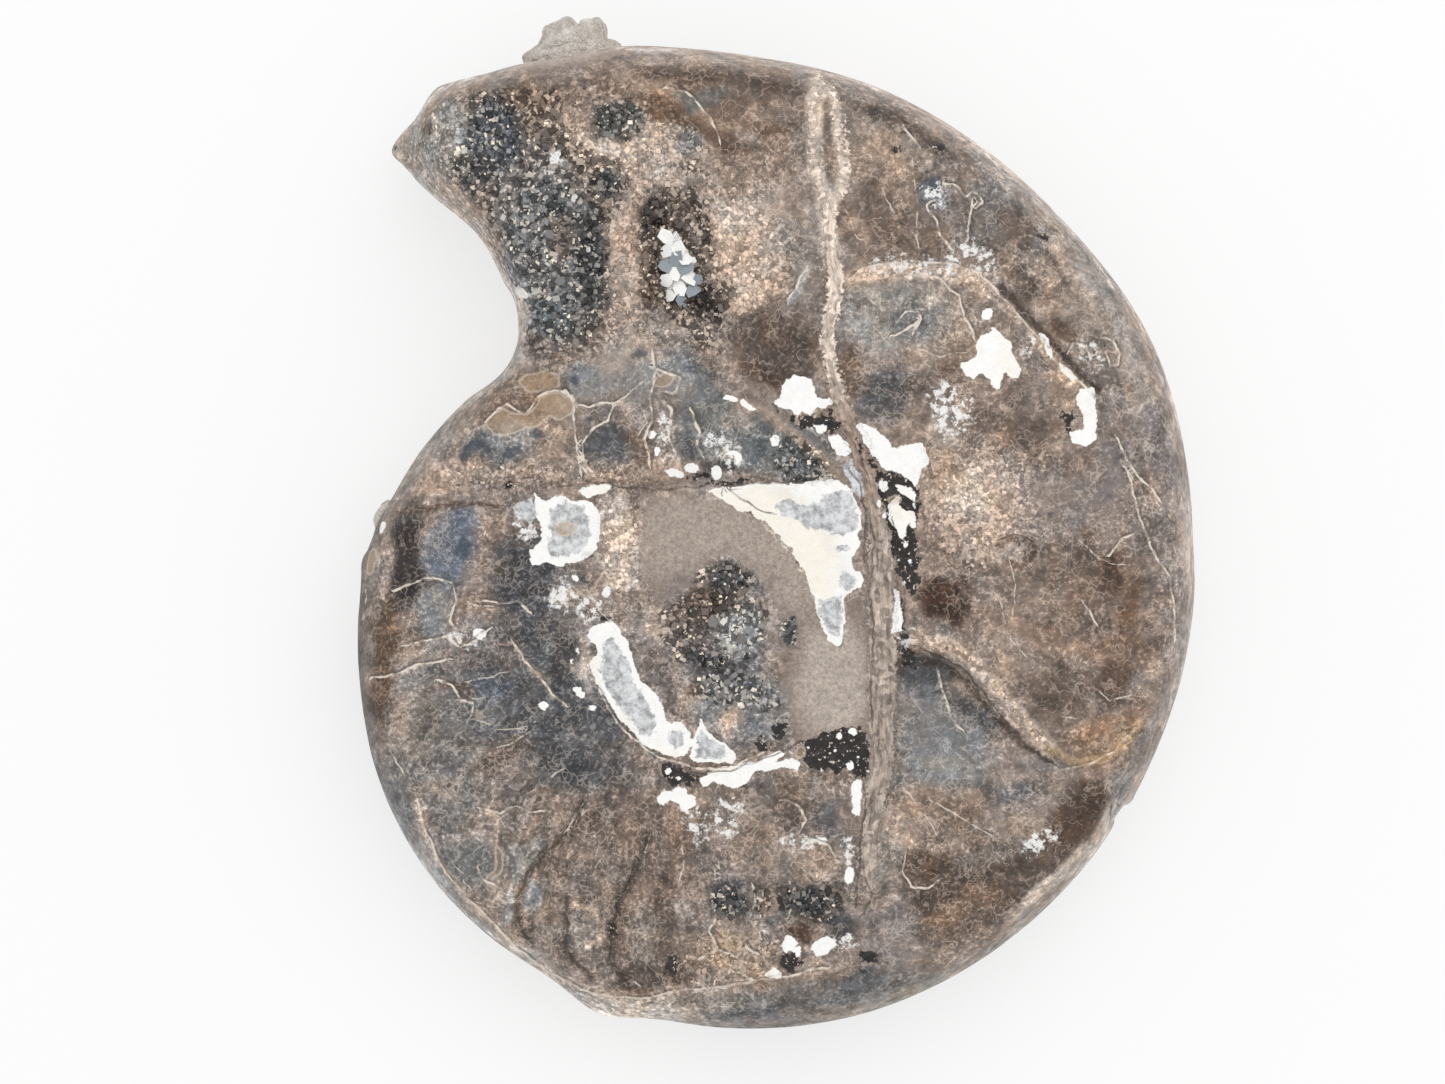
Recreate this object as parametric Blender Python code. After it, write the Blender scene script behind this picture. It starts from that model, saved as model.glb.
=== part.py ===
"""An ammonite fossil: a flat coiled shell turned to stone, polished on its upper flank and ground flat underneath.

The fossil lies on its ground side. +Z is up, +X runs to its right and +Y away, with the broken mouth of the shell
at -X, +Y. The origin is on the surface that it rests on, under the middle of its box. It is all one piece of
stone, so it is one object. Sizes below are in millimetres and degrees; meshes are in metres.
"""

import math

import bmesh
import bpy
import numpy as np
from mathutils import Vector, noise
from mathutils.geometry import delaunay_2d_cdt

MM = 0.001

# Coil. The outer edge is a logarithmic spiral that grows anticlockwise seen from above.
COIL_CENTRE = (-7.6, -9.9)
COIL_RADIUS_AT_180 = 38.0
WHORL_EXPANSION = 1.94
COIL_START, COIL_END, COIL_STEP = 126.6, 458.5, 3.0
# Swells and hollows of the worn edge: angle along the spiral, half width in degrees, height.
EDGE_WEAR = (
    (132.0, 6.0, -0.3),
    (163.8, 2.4, 0.9),
    (171.0, 5.0, 0.75),
    (192.0, 14.0, -0.25),
    (225.0, 28.0, 0.3),
    (255.0, 9.0, 1.45),
    (328.0, 40.0, -0.32),
    (334.6, 1.3, -1.5),
    (336.6, 1.2, 0.5),
    (369.0, 6.0, -0.3),
    (392.0, 18.0, 0.75),
    (450.0, 22.0, -1.0),
)

# Broken mouth: the edge from the top of the last whorl, round its tip, down to the whorl before it.
MOUTH_EDGE = (
    (-17.4, 51.9), (-19.8, 51.6), (-22.6, 51.2), (-25.4, 50.7), (-28.0, 50.0), (-30.1, 49.5),
    (-33.4, 48.6), (-35.6, 48.2), (-37.0, 47.8), (-38.2, 46.3), (-38.8, 44.9), (-39.9, 43.6),
    (-41.2, 42.2), (-42.2, 40.9), (-41.6, 40.0), (-40.2, 38.9), (-38.9, 37.2), (-37.2, 35.6),
    (-34.9, 33.9), (-33.2, 32.4), (-31.6, 30.5), (-30.4, 28.2), (-29.7, 26.3), (-28.3, 24.6),
    (-28.1, 22.4), (-28.0, 20.6), (-27.9, 18.9),
)
MOUTH_TIP = (-42.2, 40.9)
TIP_REACH, TIP_TOP_DROP, TIP_BASE_RISE = 8.0, 6.5, 6.0
MOUTH_SLOPE_REACH, MOUTH_SLOPE_DROP = 7.0, 1.6

# Heights of the two flanks. The shell thickens as it grows, so the polished face leans a little.
FACE_HEIGHT = 22.6
FACE_TILT = (0.036, 0.042)
FACE_CROWN = 0.0006
EDGE_HEIGHT_SHARE = 0.47
BACK_SHOULDER_LIFT = 2.6
BACK_CROWN = 0.0034
RIM_WIDTH, MOUTH_RIM_WIDTH = 4.6, 1.9
FACE_RIM_RINGS, BACK_RIM_RINGS = 4, 4

# Umbilicus: the sunken middle of the coil, filled with matrix on the face and open on the back.
UMBILICUS_RADIUS = 14.5
FACE_UMBILICUS_DEPTH, BACK_UMBILICUS_DEPTH = 0.6, 3.4
CORE_MOUND_CENTRE, CORE_MOUND_RADIUS, CORE_MOUND_HEIGHT = (-6.6, -10.4), 6.2, 0.5
SUTURE_GROOVE_DEPTH, SUTURE_GROOVE_WIDTH = 0.8, 1.3

# Ribs: low waves across the flank on the small side of the last whorl.
RIB_PITCH, RIB_HEIGHT, RIB_SWEEP = 11.0, 0.28, 16.0
RIBS_FROM, RIBS_TO = 190.0, 268.0

# Ledges of the face: the line of the step, its drop at the first and last point, and how far the lowered side
# reaches. The lowered side is on the right of the line, going along it.
MOUTH_SEAM = ((-27.9, 18.9), (-23.5, 18.6), (-19.2, 19.6), (-14.8, 21.2), (-9.4, 19.8), (-5.9, 16.7), (-3.4, 14.5))
CHAMBER_LEDGE = ((14.0, -12.0), (20.1, -15.6), (24.4, -19.1), (28.2, -23.6), (31.0, -25.6), (36.4, -26.2))
KEEL_LEDGE = ((-14.8, -51.8), (-8.3, -50.1), (-1.7, -48.7), (2.6, -48.9), (7.0, -47.7), (10.2, -45.8))
LAYER_EDGE = (
    (7.5, 27.3), (15.7, 28.3), (22.8, 27.8), (26.6, 23.2), (29.9, 19.6), (33.1, 16.3), (35.0, 13.6), (34.9, 8.9),
)
LEDGES = (
    (MOUTH_SEAM, 1.1, 0.2, 9.0),
    (CHAMBER_LEDGE, 1.0, 0.3, 10.0),
    (KEEL_LEDGE, 0.9, 1.1, 8.0),
    (LAYER_EDGE, 0.2, 0.45, 7.0),
)
LEDGE_STEP_WIDTH = 0.7
LEDGE_END_FADE = 2.5

# The healed crack that crosses the whole face stands up as a low ridge.
VEIN = (
    (4.6, 48.9), (4.1, 45.2), (3.8, 40.7), (4.9, 35.9), (5.9, 32.0), (5.9, 25.6), (5.5, 20.2), (6.8, 14.7),
    (8.7, 9.3), (10.5, 2.7), (11.7, -3.8), (12.1, -10.4), (12.5, -16.9), (11.7, -24.5), (11.2, -30.0), (10.4, -35.4),
)
VEIN_HEIGHT, VEIN_HALF_WIDTH = 0.5, 1.1

# Hollows of the face: centre, half sizes, turn about Z in degrees, depth. The first four are lined with small
# crystals, the rest are pits.
HOLLOWS = (
    ((-10.0, 28.6), (3.9, 7.8), 8.0, 1.1),
    ((-23.6, 28.6), (4.2, 7.2), -6.0, 0.7),
    ((-30.6, 42.2), (3.6, 4.6), 15.0, 0.6),
    ((-5.2, -11.3), (4.2, 3.3), 10.0, 0.5),
    ((29.1, 31.3), (0.8, 0.9), 0.0, 0.7),
    ((17.8, 41.2), (1.0, 0.6), -30.0, 0.5),
    ((32.9, 6.9), (0.6, 1.0), 20.0, 0.5),
    ((-20.3, -3.4), (0.6, 0.6), 0.0, 0.5),
    ((14.6, -12.6), (1.0, 1.5), 15.0, 0.7),
)
HOLLOW_FLOOR_SHARE = 0.72

# Matrix still stuck to the outside: centre, half sizes, turn about Z in degrees, mesh divisions.
MATRIX_LUMPS = (
    ((-22.6, 50.8, 12.3), (4.7, 1.6, 4.4), 8.0, 3),
    ((-23.5, 51.7, 12.8), (2.4, 3.0, 3.2), 12.0, 3),
    ((-20.3, 51.8, 12.2), (1.8, 3.3, 3.4), -8.0, 3),
    ((-42.2, 0.8, 9.8), (2.3, 1.5, 3.2), 70.0, 2),
)
LUMP_ROUGHNESS, LUMP_GRAIN = 0.3, 1.5

# Calcite crystals with six flat sides and a point: base, length, radius, and the way each one leans.
CRYSTALS = (
    ((-11.3, 31.2, 19.6), 3.4, 1.4, (-0.10, 0.20)),
    ((-10.3, 29.2, 19.4), 3.7, 1.6, (0.16, 0.08)),
    ((-9.9, 27.2, 19.5), 3.5, 1.6, (0.05, -0.12)),
    ((-10.5, 25.4, 19.7), 3.0, 1.3, (-0.18, -0.22)),
    ((-6.3, -10.6, 19.6), 2.4, 1.0, (-0.25, 0.10)),
    ((-4.3, -11.9, 19.6), 2.3, 0.9, (0.20, -0.15)),
    ((-24.6, 30.4, 20.0), 2.4, 1.0, (0.12, 0.25)),
    ((-22.7, 26.4, 20.0), 2.3, 1.0, (-0.15, -0.18)),
)
CRYSTAL_SIDES, CRYSTAL_POINT_SHARE = 6, 0.3

FACE_SPACING, BACK_SPACING = 2.15, 3.2
NOISE_SEED = Vector((3.1, 7.7, 1.3))
WEAR_HEIGHT, WEAR_GRAIN = 0.22, 9.0
MOUTH_ROUGHNESS, MOUTH_GRAIN = 0.45, 2.2
MOUTH_CHIPS, MOUTH_CHIP_GRAIN = 1.3, 4.0
# The part of the face that the mouth's rough crystal filling covers: centre, half sizes.
ROUGH_PATCH = ((-23.5, 33.5), (15.0, 15.5))

STONE_COLOUR = (0.27, 0.235, 0.21, 1.0)
STONE_ROUGHNESS, STONE_METALLIC = 0.42, 0.0
SMOOTH_ANGLE = 35.0


def clear_scene():
    """Removes every object, so that only the fossil is left."""
    for obj in list(bpy.data.objects):
        bpy.data.objects.remove(obj, do_unlink=True)


def bell(value):
    """1 at 0, falling smoothly to 0 at 1 on either side."""
    inside = np.clip(1.0 - np.abs(value), 0.0, 1.0)
    return inside * inside * (3.0 - 2.0 * inside)


def ramp(value):
    """0 below 0, 1 above 1, smooth between them."""
    share = np.clip(value, 0.0, 1.0)
    return share * share * (3.0 - 2.0 * share)


def turned(xy, degrees):
    """Points turned about the origin."""
    cos, sin = math.cos(math.radians(degrees)), math.sin(math.radians(degrees))
    return np.stack([xy[:, 0] * cos - xy[:, 1] * sin, xy[:, 0] * sin + xy[:, 1] * cos], axis=1)


def coil_radius(angle):
    """Radius of the outer edge at this angle along the spiral, with its wear."""
    radius = COIL_RADIUS_AT_180 * WHORL_EXPANSION ** ((angle - 180.0) / 360.0)
    for centre, half_width, height in EDGE_WEAR:
        radius += height * float(bell((angle - centre) / half_width))
    return radius


def coil_point(angle):
    """The point of the outer edge at this angle along the spiral."""
    radius, turn = coil_radius(angle), math.radians(angle)
    return (COIL_CENTRE[0] + radius * math.cos(turn), COIL_CENTRE[1] + radius * math.sin(turn))


def outline():
    """Points of the outer edge, anticlockwise, with the width of the rounded rim at each.

    The spiral's own stretch gets extra points where its wear is sharp.
    """
    angles = set(np.arange(COIL_START, COIL_END, COIL_STEP).round(3))
    for centre, half_width, _ in EDGE_WEAR:
        if half_width < COIL_STEP:
            angles = {a for a in angles if abs(a - centre) > half_width * 1.4}
            angles |= {round(centre + half_width * share, 3) for share in (-1.1, -0.5, 0.0, 0.5, 1.1)}
    spiral = [coil_point(angle) for angle in sorted(angles)]
    points = np.array(spiral + list(MOUTH_EDGE))
    widths = np.full(len(points), RIM_WIDTH)
    widths[len(spiral) + 5:] = MOUTH_RIM_WIDTH
    for _ in range(6):
        widths = (np.roll(widths, 1) + 2.0 * widths + np.roll(widths, -1)) / 4.0
    return points, widths


def inset_loop(points, amounts, smoothing):
    """A closed loop moved inwards by these amounts, then relaxed so that it never crosses itself."""
    along = np.roll(points, -1, axis=0) - np.roll(points, 1, axis=0)
    along /= np.linalg.norm(along, axis=1)[:, None]
    moved = points + np.stack([-along[:, 1], along[:, 0]], axis=1) * amounts[:, None]
    for _ in range(smoothing):
        moved = (np.roll(moved, 1, axis=0) + 2.0 * moved + np.roll(moved, -1, axis=0)) / 4.0
    return moved


def nearest_on_line(xy, line):
    """For each point: its distance to the line, positive on the line's right, and how far along it lies, 0 to 1."""
    line = np.array(line)
    lengths = np.linalg.norm(np.diff(line, axis=0), axis=1)
    reached = np.concatenate([[0.0], np.cumsum(lengths)])
    best = np.full(len(xy), np.inf)
    side, share = np.zeros(len(xy)), np.zeros(len(xy))
    for start, end, length, before in zip(line[:-1], line[1:], lengths, reached):
        along = (end - start) / length
        offset = xy - start
        t = np.clip(offset @ along, 0.0, length)
        distance = np.linalg.norm(offset - t[:, None] * along, axis=1)
        nearer = distance < best
        best = np.where(nearer, distance, best)
        side = np.where(nearer, np.sign(offset[:, 0] * along[1] - offset[:, 1] * along[0]), side)
        share = np.where(nearer, (before + t) / reached[-1], share)
    return best * np.where(side == 0.0, 1.0, side), share


def stone_noise(xy, size, layer=0.0):
    """Smooth noise, about -1 to 1, with features of this size."""
    return np.array([noise.noise(Vector((x / size, y / size, layer)) + NOISE_SEED) for x, y in xy])


def ledge_relief(xy):
    """How far the ledges lower each point of the face."""
    lowered = np.zeros(len(xy))
    for line, first_drop, last_drop, reach in LEDGES:
        side, share = nearest_on_line(xy, line)
        length = np.linalg.norm(np.diff(np.array(line), axis=0), axis=1).sum()
        drop = first_drop + (last_drop - first_drop) * share
        ends = ramp(share * length / LEDGE_END_FADE) * ramp((1.0 - share) * length / LEDGE_END_FADE)
        lowered += drop * ends * ramp(side / LEDGE_STEP_WIDTH) * (1.0 - ramp(side / reach))
    return lowered


def mouth_slope(xy):
    """How far the face falls towards the broken edge of the mouth."""
    side, _ = nearest_on_line(xy, MOUTH_EDGE[8:])
    return MOUTH_SLOPE_DROP * (1.0 - ramp(np.abs(side) / MOUTH_SLOPE_REACH))


def face_height(xy):
    """Height of the polished face over each point."""
    x, y = xy[:, 0], xy[:, 1]
    height = FACE_HEIGHT + FACE_TILT[0] * x + FACE_TILT[1] * y - FACE_CROWN * (x * x + y * y)
    from_coil = xy - np.array(COIL_CENTRE)
    radius = np.linalg.norm(from_coil, axis=1)
    angle = np.degrees(np.arctan2(from_coil[:, 1], from_coil[:, 0])) % 360.0
    height -= FACE_UMBILICUS_DEPTH * (1.0 - ramp((radius - UMBILICUS_RADIUS) / 2.5))
    mound = np.linalg.norm(xy - np.array(CORE_MOUND_CENTRE), axis=1)
    height += CORE_MOUND_HEIGHT * bell(mound / CORE_MOUND_RADIUS)
    ribbed = ramp((angle - RIBS_FROM) / 12.0) * ramp((RIBS_TO - angle) / 12.0) * ramp((radius - 20.0) / 9.0)
    height += ribbed * RIB_HEIGHT * np.cos((angle - RIB_SWEEP * (radius / 40.0) ** 2) * 2.0 * math.pi / RIB_PITCH)
    height -= ledge_relief(xy)
    for centre, half_sizes, turn, depth in HOLLOWS:
        reach = np.linalg.norm(turned(xy - np.array(centre), -turn) / np.array(half_sizes), axis=1)
        height -= depth * (1.0 - ramp((reach - HOLLOW_FLOOR_SHARE) / (1.0 - HOLLOW_FLOOR_SHARE)))
    side, share = nearest_on_line(xy, VEIN)
    height += VEIN_HEIGHT * bell(side / (2.0 * VEIN_HALF_WIDTH)) * ramp(share * 12.0) * ramp((1.0 - share) * 9.0)
    height -= mouth_slope(xy)
    tip = np.linalg.norm(xy - np.array(MOUTH_TIP), axis=1)
    height -= TIP_TOP_DROP * bell(tip / TIP_REACH)
    rough = bell(np.linalg.norm((xy - np.array(ROUGH_PATCH[0])) / np.array(ROUGH_PATCH[1]), axis=1))
    height += WEAR_HEIGHT * stone_noise(xy, WEAR_GRAIN)
    height += MOUTH_ROUGHNESS * np.sqrt(rough) * stone_noise(xy, MOUTH_GRAIN, 4.0)
    return height


def back_height(xy):
    """Height of the underside over each point: ground flat at 0, with the umbilicus and the worn edge above it."""
    x, y = xy[:, 0], xy[:, 1]
    from_coil = xy - np.array(COIL_CENTRE)
    radius = np.linalg.norm(from_coil, axis=1)
    ground = np.clip(BACK_CROWN * (x * x + y * y) - 4.6 + 0.9 * stone_noise(xy, 14.0, 9.0), 0.0, BACK_SHOULDER_LIFT)
    funnel = BACK_UMBILICUS_DEPTH * (1.0 - ramp(radius / UMBILICUS_RADIUS))
    angle = np.degrees(np.arctan2(from_coil[:, 1], from_coil[:, 0])) % 360.0
    before = np.array([coil_radius(a if a > COIL_START else a + 360.0) for a in angle]) / WHORL_EXPANSION
    groove = SUTURE_GROOVE_DEPTH * bell((radius - before) / SUTURE_GROOVE_WIDTH)
    tip = np.linalg.norm(xy - np.array(MOUTH_TIP), axis=1)
    return ground + funnel + groove + TIP_BASE_RISE * bell(tip / TIP_REACH)


def edge_height(xy):
    """Height of the widest line of the rim."""
    return EDGE_HEIGHT_SHARE * (FACE_HEIGHT + FACE_TILT[0] * xy[:, 0] + FACE_TILT[1] * xy[:, 1])


def rim_rings(points, widths, count, flank):
    """Rings that round the rim from the widest line to the shoulder of a flank, each as (points, heights).

    The broken mouth breaks back by chance as it goes up, so its surface is uneven.
    """
    rings, loop, before = [], points, 0.0
    middle = edge_height(points)
    broken = ramp((RIM_WIDTH - widths) / (RIM_WIDTH - MOUTH_RIM_WIDTH) * 2.0 - 1.0)
    for k in range(1, count + 1):
        turn = math.pi / 2.0 * k / count
        reach = 1.0 - math.cos(turn)
        loop = inset_loop(loop, widths * (reach - before), 2)
        before = reach
        if k < count:
            chips = np.clip(0.25 + stone_noise(loop, MOUTH_CHIP_GRAIN, 5.0 * k), 0.0, None)
            loop = inset_loop(loop, MOUTH_CHIPS * broken * chips, 0)
        rings.append((loop, middle + (flank(loop) - middle) * math.sin(turn)))
    return rings


def inside(points, loop):
    """True for each point inside the closed loop."""
    x, y = points[:, 0][:, None], points[:, 1][:, None]
    x1, y1 = loop[:, 0], loop[:, 1]
    x2, y2 = np.roll(x1, -1), np.roll(y1, -1)
    with np.errstate(divide="ignore", invalid="ignore"):
        crosses = ((y1 > y) != (y2 > y)) & (x < (x2 - x1) * (y - y1) / (y2 - y1) + x1)
    return crosses.sum(axis=1) % 2 == 1


def grid_points(loop, spacing):
    """A triangular grid of points inside the loop, clear of its edge."""
    low, high = loop.min(axis=0), loop.max(axis=0)
    rows = np.arange(low[1], high[1], spacing * math.sqrt(3.0) / 2.0)
    columns = np.arange(low[0], high[0] + spacing, spacing)
    grid = np.array([(x + (row % 2) * spacing / 2.0, y) for row, y in enumerate(rows) for x in columns])
    grid = grid[inside(grid, loop)]
    side, _ = nearest_on_line(grid, np.vstack([loop, loop[:1]]))
    return grid[np.abs(side) > 0.55 * spacing]


def spaced(line, spacing):
    """Points along a line, about this far apart."""
    line = np.array(line)
    lengths = np.linalg.norm(np.diff(line, axis=0), axis=1)
    reached = np.concatenate([[0.0], np.cumsum(lengths)])
    stations = np.linspace(0.0, reached[-1], max(2, round(reached[-1] / spacing)) + 1)
    return np.stack([np.interp(stations, reached, line[:, 0]), np.interp(stations, reached, line[:, 1])], axis=1)


def beside(line, distance):
    """The line moved this far to its right."""
    along = np.gradient(line, axis=0)
    along /= np.linalg.norm(along, axis=1)[:, None]
    return line + np.stack([along[:, 1], -along[:, 0]], axis=1) * distance


def crease_lines(loop, spacing):
    """Lines that the face's triangles must follow: both edges of ledges and hollows, the vein's crest and feet."""
    lines = []
    for line, *_ in LEDGES:
        crest = spaced(line, spacing)
        lines += [crest, beside(crest, LEDGE_STEP_WIDTH)]
    crest = spaced(VEIN, spacing)
    lines += [beside(crest, distance) for distance in (-VEIN_HALF_WIDTH, 0.0, VEIN_HALF_WIDTH)]
    for centre, half_sizes, turn, _ in HOLLOWS:
        count = max(6, round(2.0 * math.pi * max(half_sizes) / spacing))
        angles = np.linspace(0.0, 2.0 * math.pi, count + 1)
        ring = np.stack([np.cos(angles), np.sin(angles)], axis=1) * np.array(half_sizes)
        lines += [turned(ring * share, turn) + np.array(centre) for share in (1.0, HOLLOW_FLOOR_SHARE)]
    kept = []
    for line in lines:
        clear = inside(line, loop) & (np.abs(nearest_on_line(line, np.vstack([loop, loop[:1]]))[0]) > 0.5)
        kept.append(line[clear])
    return [line for line in kept if len(line) > 1]


def fill_flank(build, ring_vertices, loop, spacing, creases, flank, upwards):
    """Fills the inside of a shoulder ring with triangles that lie on a flank."""
    grid = grid_points(loop, spacing)
    for line in creases:
        grid = grid[np.abs(nearest_on_line(grid, line)[0]) > 0.4 * spacing]
    points, edges = list(loop), []
    for line in creases:
        edges += [(len(points) + i, len(points) + i + 1) for i in range(len(line) - 1)]
        points += list(line)
    points += list(grid)
    ring = list(range(len(loop)))
    found, _, faces, origins, _, owners = delaunay_2d_cdt([Vector(p) for p in points], edges, [ring], 0, 1e-5, True)
    faces = [face for face, owner in zip(faces, owners) if owner]
    heights = flank(np.array([(p.x, p.y) for p in found]))
    made = []
    for point, height, origin in zip(found, heights, origins):
        on_ring = [i for i in origin if i < len(loop)]
        made.append(ring_vertices[on_ring[0]] if on_ring else build.verts.new((point.x, point.y, height)))
    for face in faces:
        build.faces.new([made[i] for i in (face if upwards else reversed(face))])


def shell_mesh():
    """The coiled shell as one closed mesh, in millimetres."""
    build = bmesh.new()
    points, widths = outline()
    edge = [build.verts.new((x, y, z)) for (x, y), z in zip(points, edge_height(points))]
    flanks = (
        (face_height, FACE_RIM_RINGS, FACE_SPACING, True),
        (back_height, BACK_RIM_RINGS, BACK_SPACING, False),
    )
    for flank, count, spacing, upwards in flanks:
        outer = edge
        for loop, heights in rim_rings(points, widths, count, flank):
            inner = [build.verts.new((x, y, z)) for (x, y), z in zip(loop, heights)]
            for i in range(len(outer)):
                j = (i + 1) % len(outer)
                quad = (outer[i], outer[j], inner[j], inner[i])
                build.faces.new(quad if upwards else quad[::-1])
            outer = inner
        creases = crease_lines(loop, spacing) if upwards else []
        fill_flank(build, outer, loop, spacing, creases, flank, upwards)
    return build


def lump_mesh(centre, half_sizes, turn, divisions):
    """A knobbly lump of matrix as a closed mesh, in millimetres."""
    build = bmesh.new()
    bmesh.ops.create_icosphere(build, subdivisions=divisions, radius=1.0)
    turn = math.radians(turn)
    for vertex in build.verts:
        swell = 1.0 + LUMP_ROUGHNESS * noise.noise(vertex.co * LUMP_GRAIN + Vector(centre))
        x, y, z = (vertex.co[i] * half_sizes[i] * swell for i in range(3))
        vertex.co = Vector((
            centre[0] + x * math.cos(turn) - y * math.sin(turn),
            centre[1] + x * math.sin(turn) + y * math.cos(turn),
            centre[2] + z,
        ))
    return build


def crystal_mesh(base, length, radius, lean):
    """A six-sided crystal with a point as a closed mesh, in millimetres."""
    build = bmesh.new()
    shoulder = length * (1.0 - CRYSTAL_POINT_SHARE)
    axis = Vector((lean[0], lean[1], 1.0)).normalized()
    rings = []
    for height in (0.0, shoulder):
        ring = []
        for side in range(CRYSTAL_SIDES):
            angle = 2.0 * math.pi * side / CRYSTAL_SIDES
            spread = Vector((radius * math.cos(angle), radius * math.sin(angle), 0.0))
            ring.append(build.verts.new(Vector(base) + spread + axis * height))
        rings.append(ring)
    point = build.verts.new(Vector(base) + axis * length)
    for side in range(CRYSTAL_SIDES):
        after = (side + 1) % CRYSTAL_SIDES
        build.faces.new((rings[0][side], rings[0][after], rings[1][after], rings[1][side]))
        build.faces.new((rings[1][side], rings[1][after], point))
    build.faces.new(rings[0][::-1])
    return build


def join_to(fossil, number, build, material):
    """Joins a closed mesh to the fossil."""
    shape = new_object(f"joined_shape_{number}", build, material)
    shape.hide_render = True
    shape.display_type = "WIRE"
    join = fossil.modifiers.new(f"join_{number}", "BOOLEAN")
    join.operation = "UNION"
    join.solver = "EXACT"
    join.object = shape


def new_object(name, build, material):
    """An object from a mesh in millimetres, in the scene."""
    bmesh.ops.scale(build, vec=(MM, MM, MM), verts=build.verts)
    mesh = bpy.data.meshes.new(name)
    build.to_mesh(mesh)
    build.free()
    mesh.materials.append(material)
    mesh.shade_smooth()
    mesh.set_sharp_from_angle(angle=math.radians(SMOOTH_ANGLE))
    obj = bpy.data.objects.new(name, mesh)
    bpy.context.scene.collection.objects.link(obj)
    return obj


def stone_material():
    """Polished grey-brown stone."""
    material = bpy.data.materials.new("polished_stone")
    material.use_nodes = True
    shader = material.node_tree.nodes["Principled BSDF"]
    shader.inputs["Base Color"].default_value = STONE_COLOUR
    shader.inputs["Roughness"].default_value = STONE_ROUGHNESS
    shader.inputs["Metallic"].default_value = STONE_METALLIC
    return material


def main():
    """Builds the fossil: the shell, with its matrix lumps and crystals joined to it."""
    clear_scene()
    stone = stone_material()
    fossil = new_object("ammonite", shell_mesh(), stone)
    shapes = [lump_mesh(*lump) for lump in MATRIX_LUMPS] + [crystal_mesh(*crystal) for crystal in CRYSTALS]
    for number, shape in enumerate(shapes):
        join_to(fossil, number, shape, stone)


main()
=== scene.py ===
"""The looks of the ammonite fossil: its fine surface, crystals and matrix lumps, and the studio around it.

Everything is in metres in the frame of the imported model, +Z up. Shapes are worked out in millimetres.
Markings are placed by the pixel of the photograph that shows them, in its 1445 by 1084 frame, and each
point of the surface looks up the pixel that the camera sees it at.
"""

import logging
import math
from dataclasses import dataclass, fields
from enum import Enum
from typing import ClassVar

import bmesh
import bpy
import numpy as np
from mathutils import Matrix, Vector, noise
from mathutils.geometry import delaunay_2d_cdt


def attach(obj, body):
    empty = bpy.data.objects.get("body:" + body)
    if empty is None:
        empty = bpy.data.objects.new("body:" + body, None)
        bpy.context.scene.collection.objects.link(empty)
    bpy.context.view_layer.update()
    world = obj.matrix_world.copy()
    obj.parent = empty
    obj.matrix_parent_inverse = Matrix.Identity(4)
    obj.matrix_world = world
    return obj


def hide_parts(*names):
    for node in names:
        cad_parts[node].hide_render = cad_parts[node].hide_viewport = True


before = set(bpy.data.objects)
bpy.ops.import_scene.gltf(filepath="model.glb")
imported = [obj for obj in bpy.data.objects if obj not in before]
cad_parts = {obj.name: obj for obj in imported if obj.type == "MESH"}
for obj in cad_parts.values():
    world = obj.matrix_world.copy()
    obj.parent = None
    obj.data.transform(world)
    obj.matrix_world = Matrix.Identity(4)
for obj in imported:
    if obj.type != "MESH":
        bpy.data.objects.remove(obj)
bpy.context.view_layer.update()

log = logging.getLogger("ammonite")

MM = 0.001
BODY = "root"
NODE = "ammonite"
MIRRORED = 0.012

Array = np.ndarray
Material = bpy.types.Material
Socket = bpy.types.NodeSocket
Point = tuple[float, float]
Colour = tuple[int, int, int]


class Layer(Enum):
    """What a patch of the polished face is made of. The value names the attribute of its distance field."""

    GRANULAR = "granular"
    MATRIX = "matrix"
    SLATE = "slate"
    OCHRE = "ochre"
    DRUSE = "druse"
    BLACK = "black"
    NAVY = "navy"
    WHITE = "white"
    IVORY = "ivory"
    MOTTLE = "mottle"
    CALCITE = "calcite"


class Stroke(Enum):
    """How a line of the polished face shows. The value starts the names of its two attributes."""

    SEAM = "seam"
    HAIRLINE = "hair"
    CRACK = "crack"


class Shade(Enum):
    """The palette of the stone, as screen colours."""

    SOOT = (65, 59, 57)
    # Used only for strokes of painted shade beside ridges and in grooves.
    PAINTED_SHADE_BROWN = (71, 61, 55)
    SEAL = (76, 58, 50)
    CHARCOAL = (71, 71, 74)
    GRAPHITE = (81, 80, 81)
    LEAD = (92, 91, 92)
    WALNUT = (87, 70, 60)
    COCOA = (94, 81, 73)
    STEEL = (96, 99, 105)
    DENIM = (102, 109, 120)
    UMBER = (105, 85, 70)
    CLAY = (110, 95, 86)
    ASH = (103, 101, 99)
    MOLE = (112, 105, 100)
    IRON = (111, 113, 113)
    HAZEL = (121, 103, 91)
    DRAB = (122, 110, 102)
    STONE = (122, 117, 113)
    PEWTER = (124, 123, 123)
    LILAC = (134, 133, 133)
    MAUVE = (132, 122, 117)
    SIENNA = (140, 113, 92)
    BARK = (134, 115, 101)
    PUTTY = (139, 131, 124)
    FAWN = (142, 126, 115)
    BUFF = (151, 134, 121)
    DOVE = (151, 147, 142)
    SAND = (164, 145, 129)
    MARL = (164, 151, 141)
    HONEY = (170, 143, 112)
    PARCHMENT = (174, 162, 152)
    BISCUIT = (178, 158, 143)
    MIST = (172, 171, 169)
    SHELL = (188, 169, 154)
    SUGAR = (196, 176, 161)
    OAT = (206, 189, 174)
    CHALK = (205, 193, 182)
    BRIGHT = (220, 204, 188)


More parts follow.
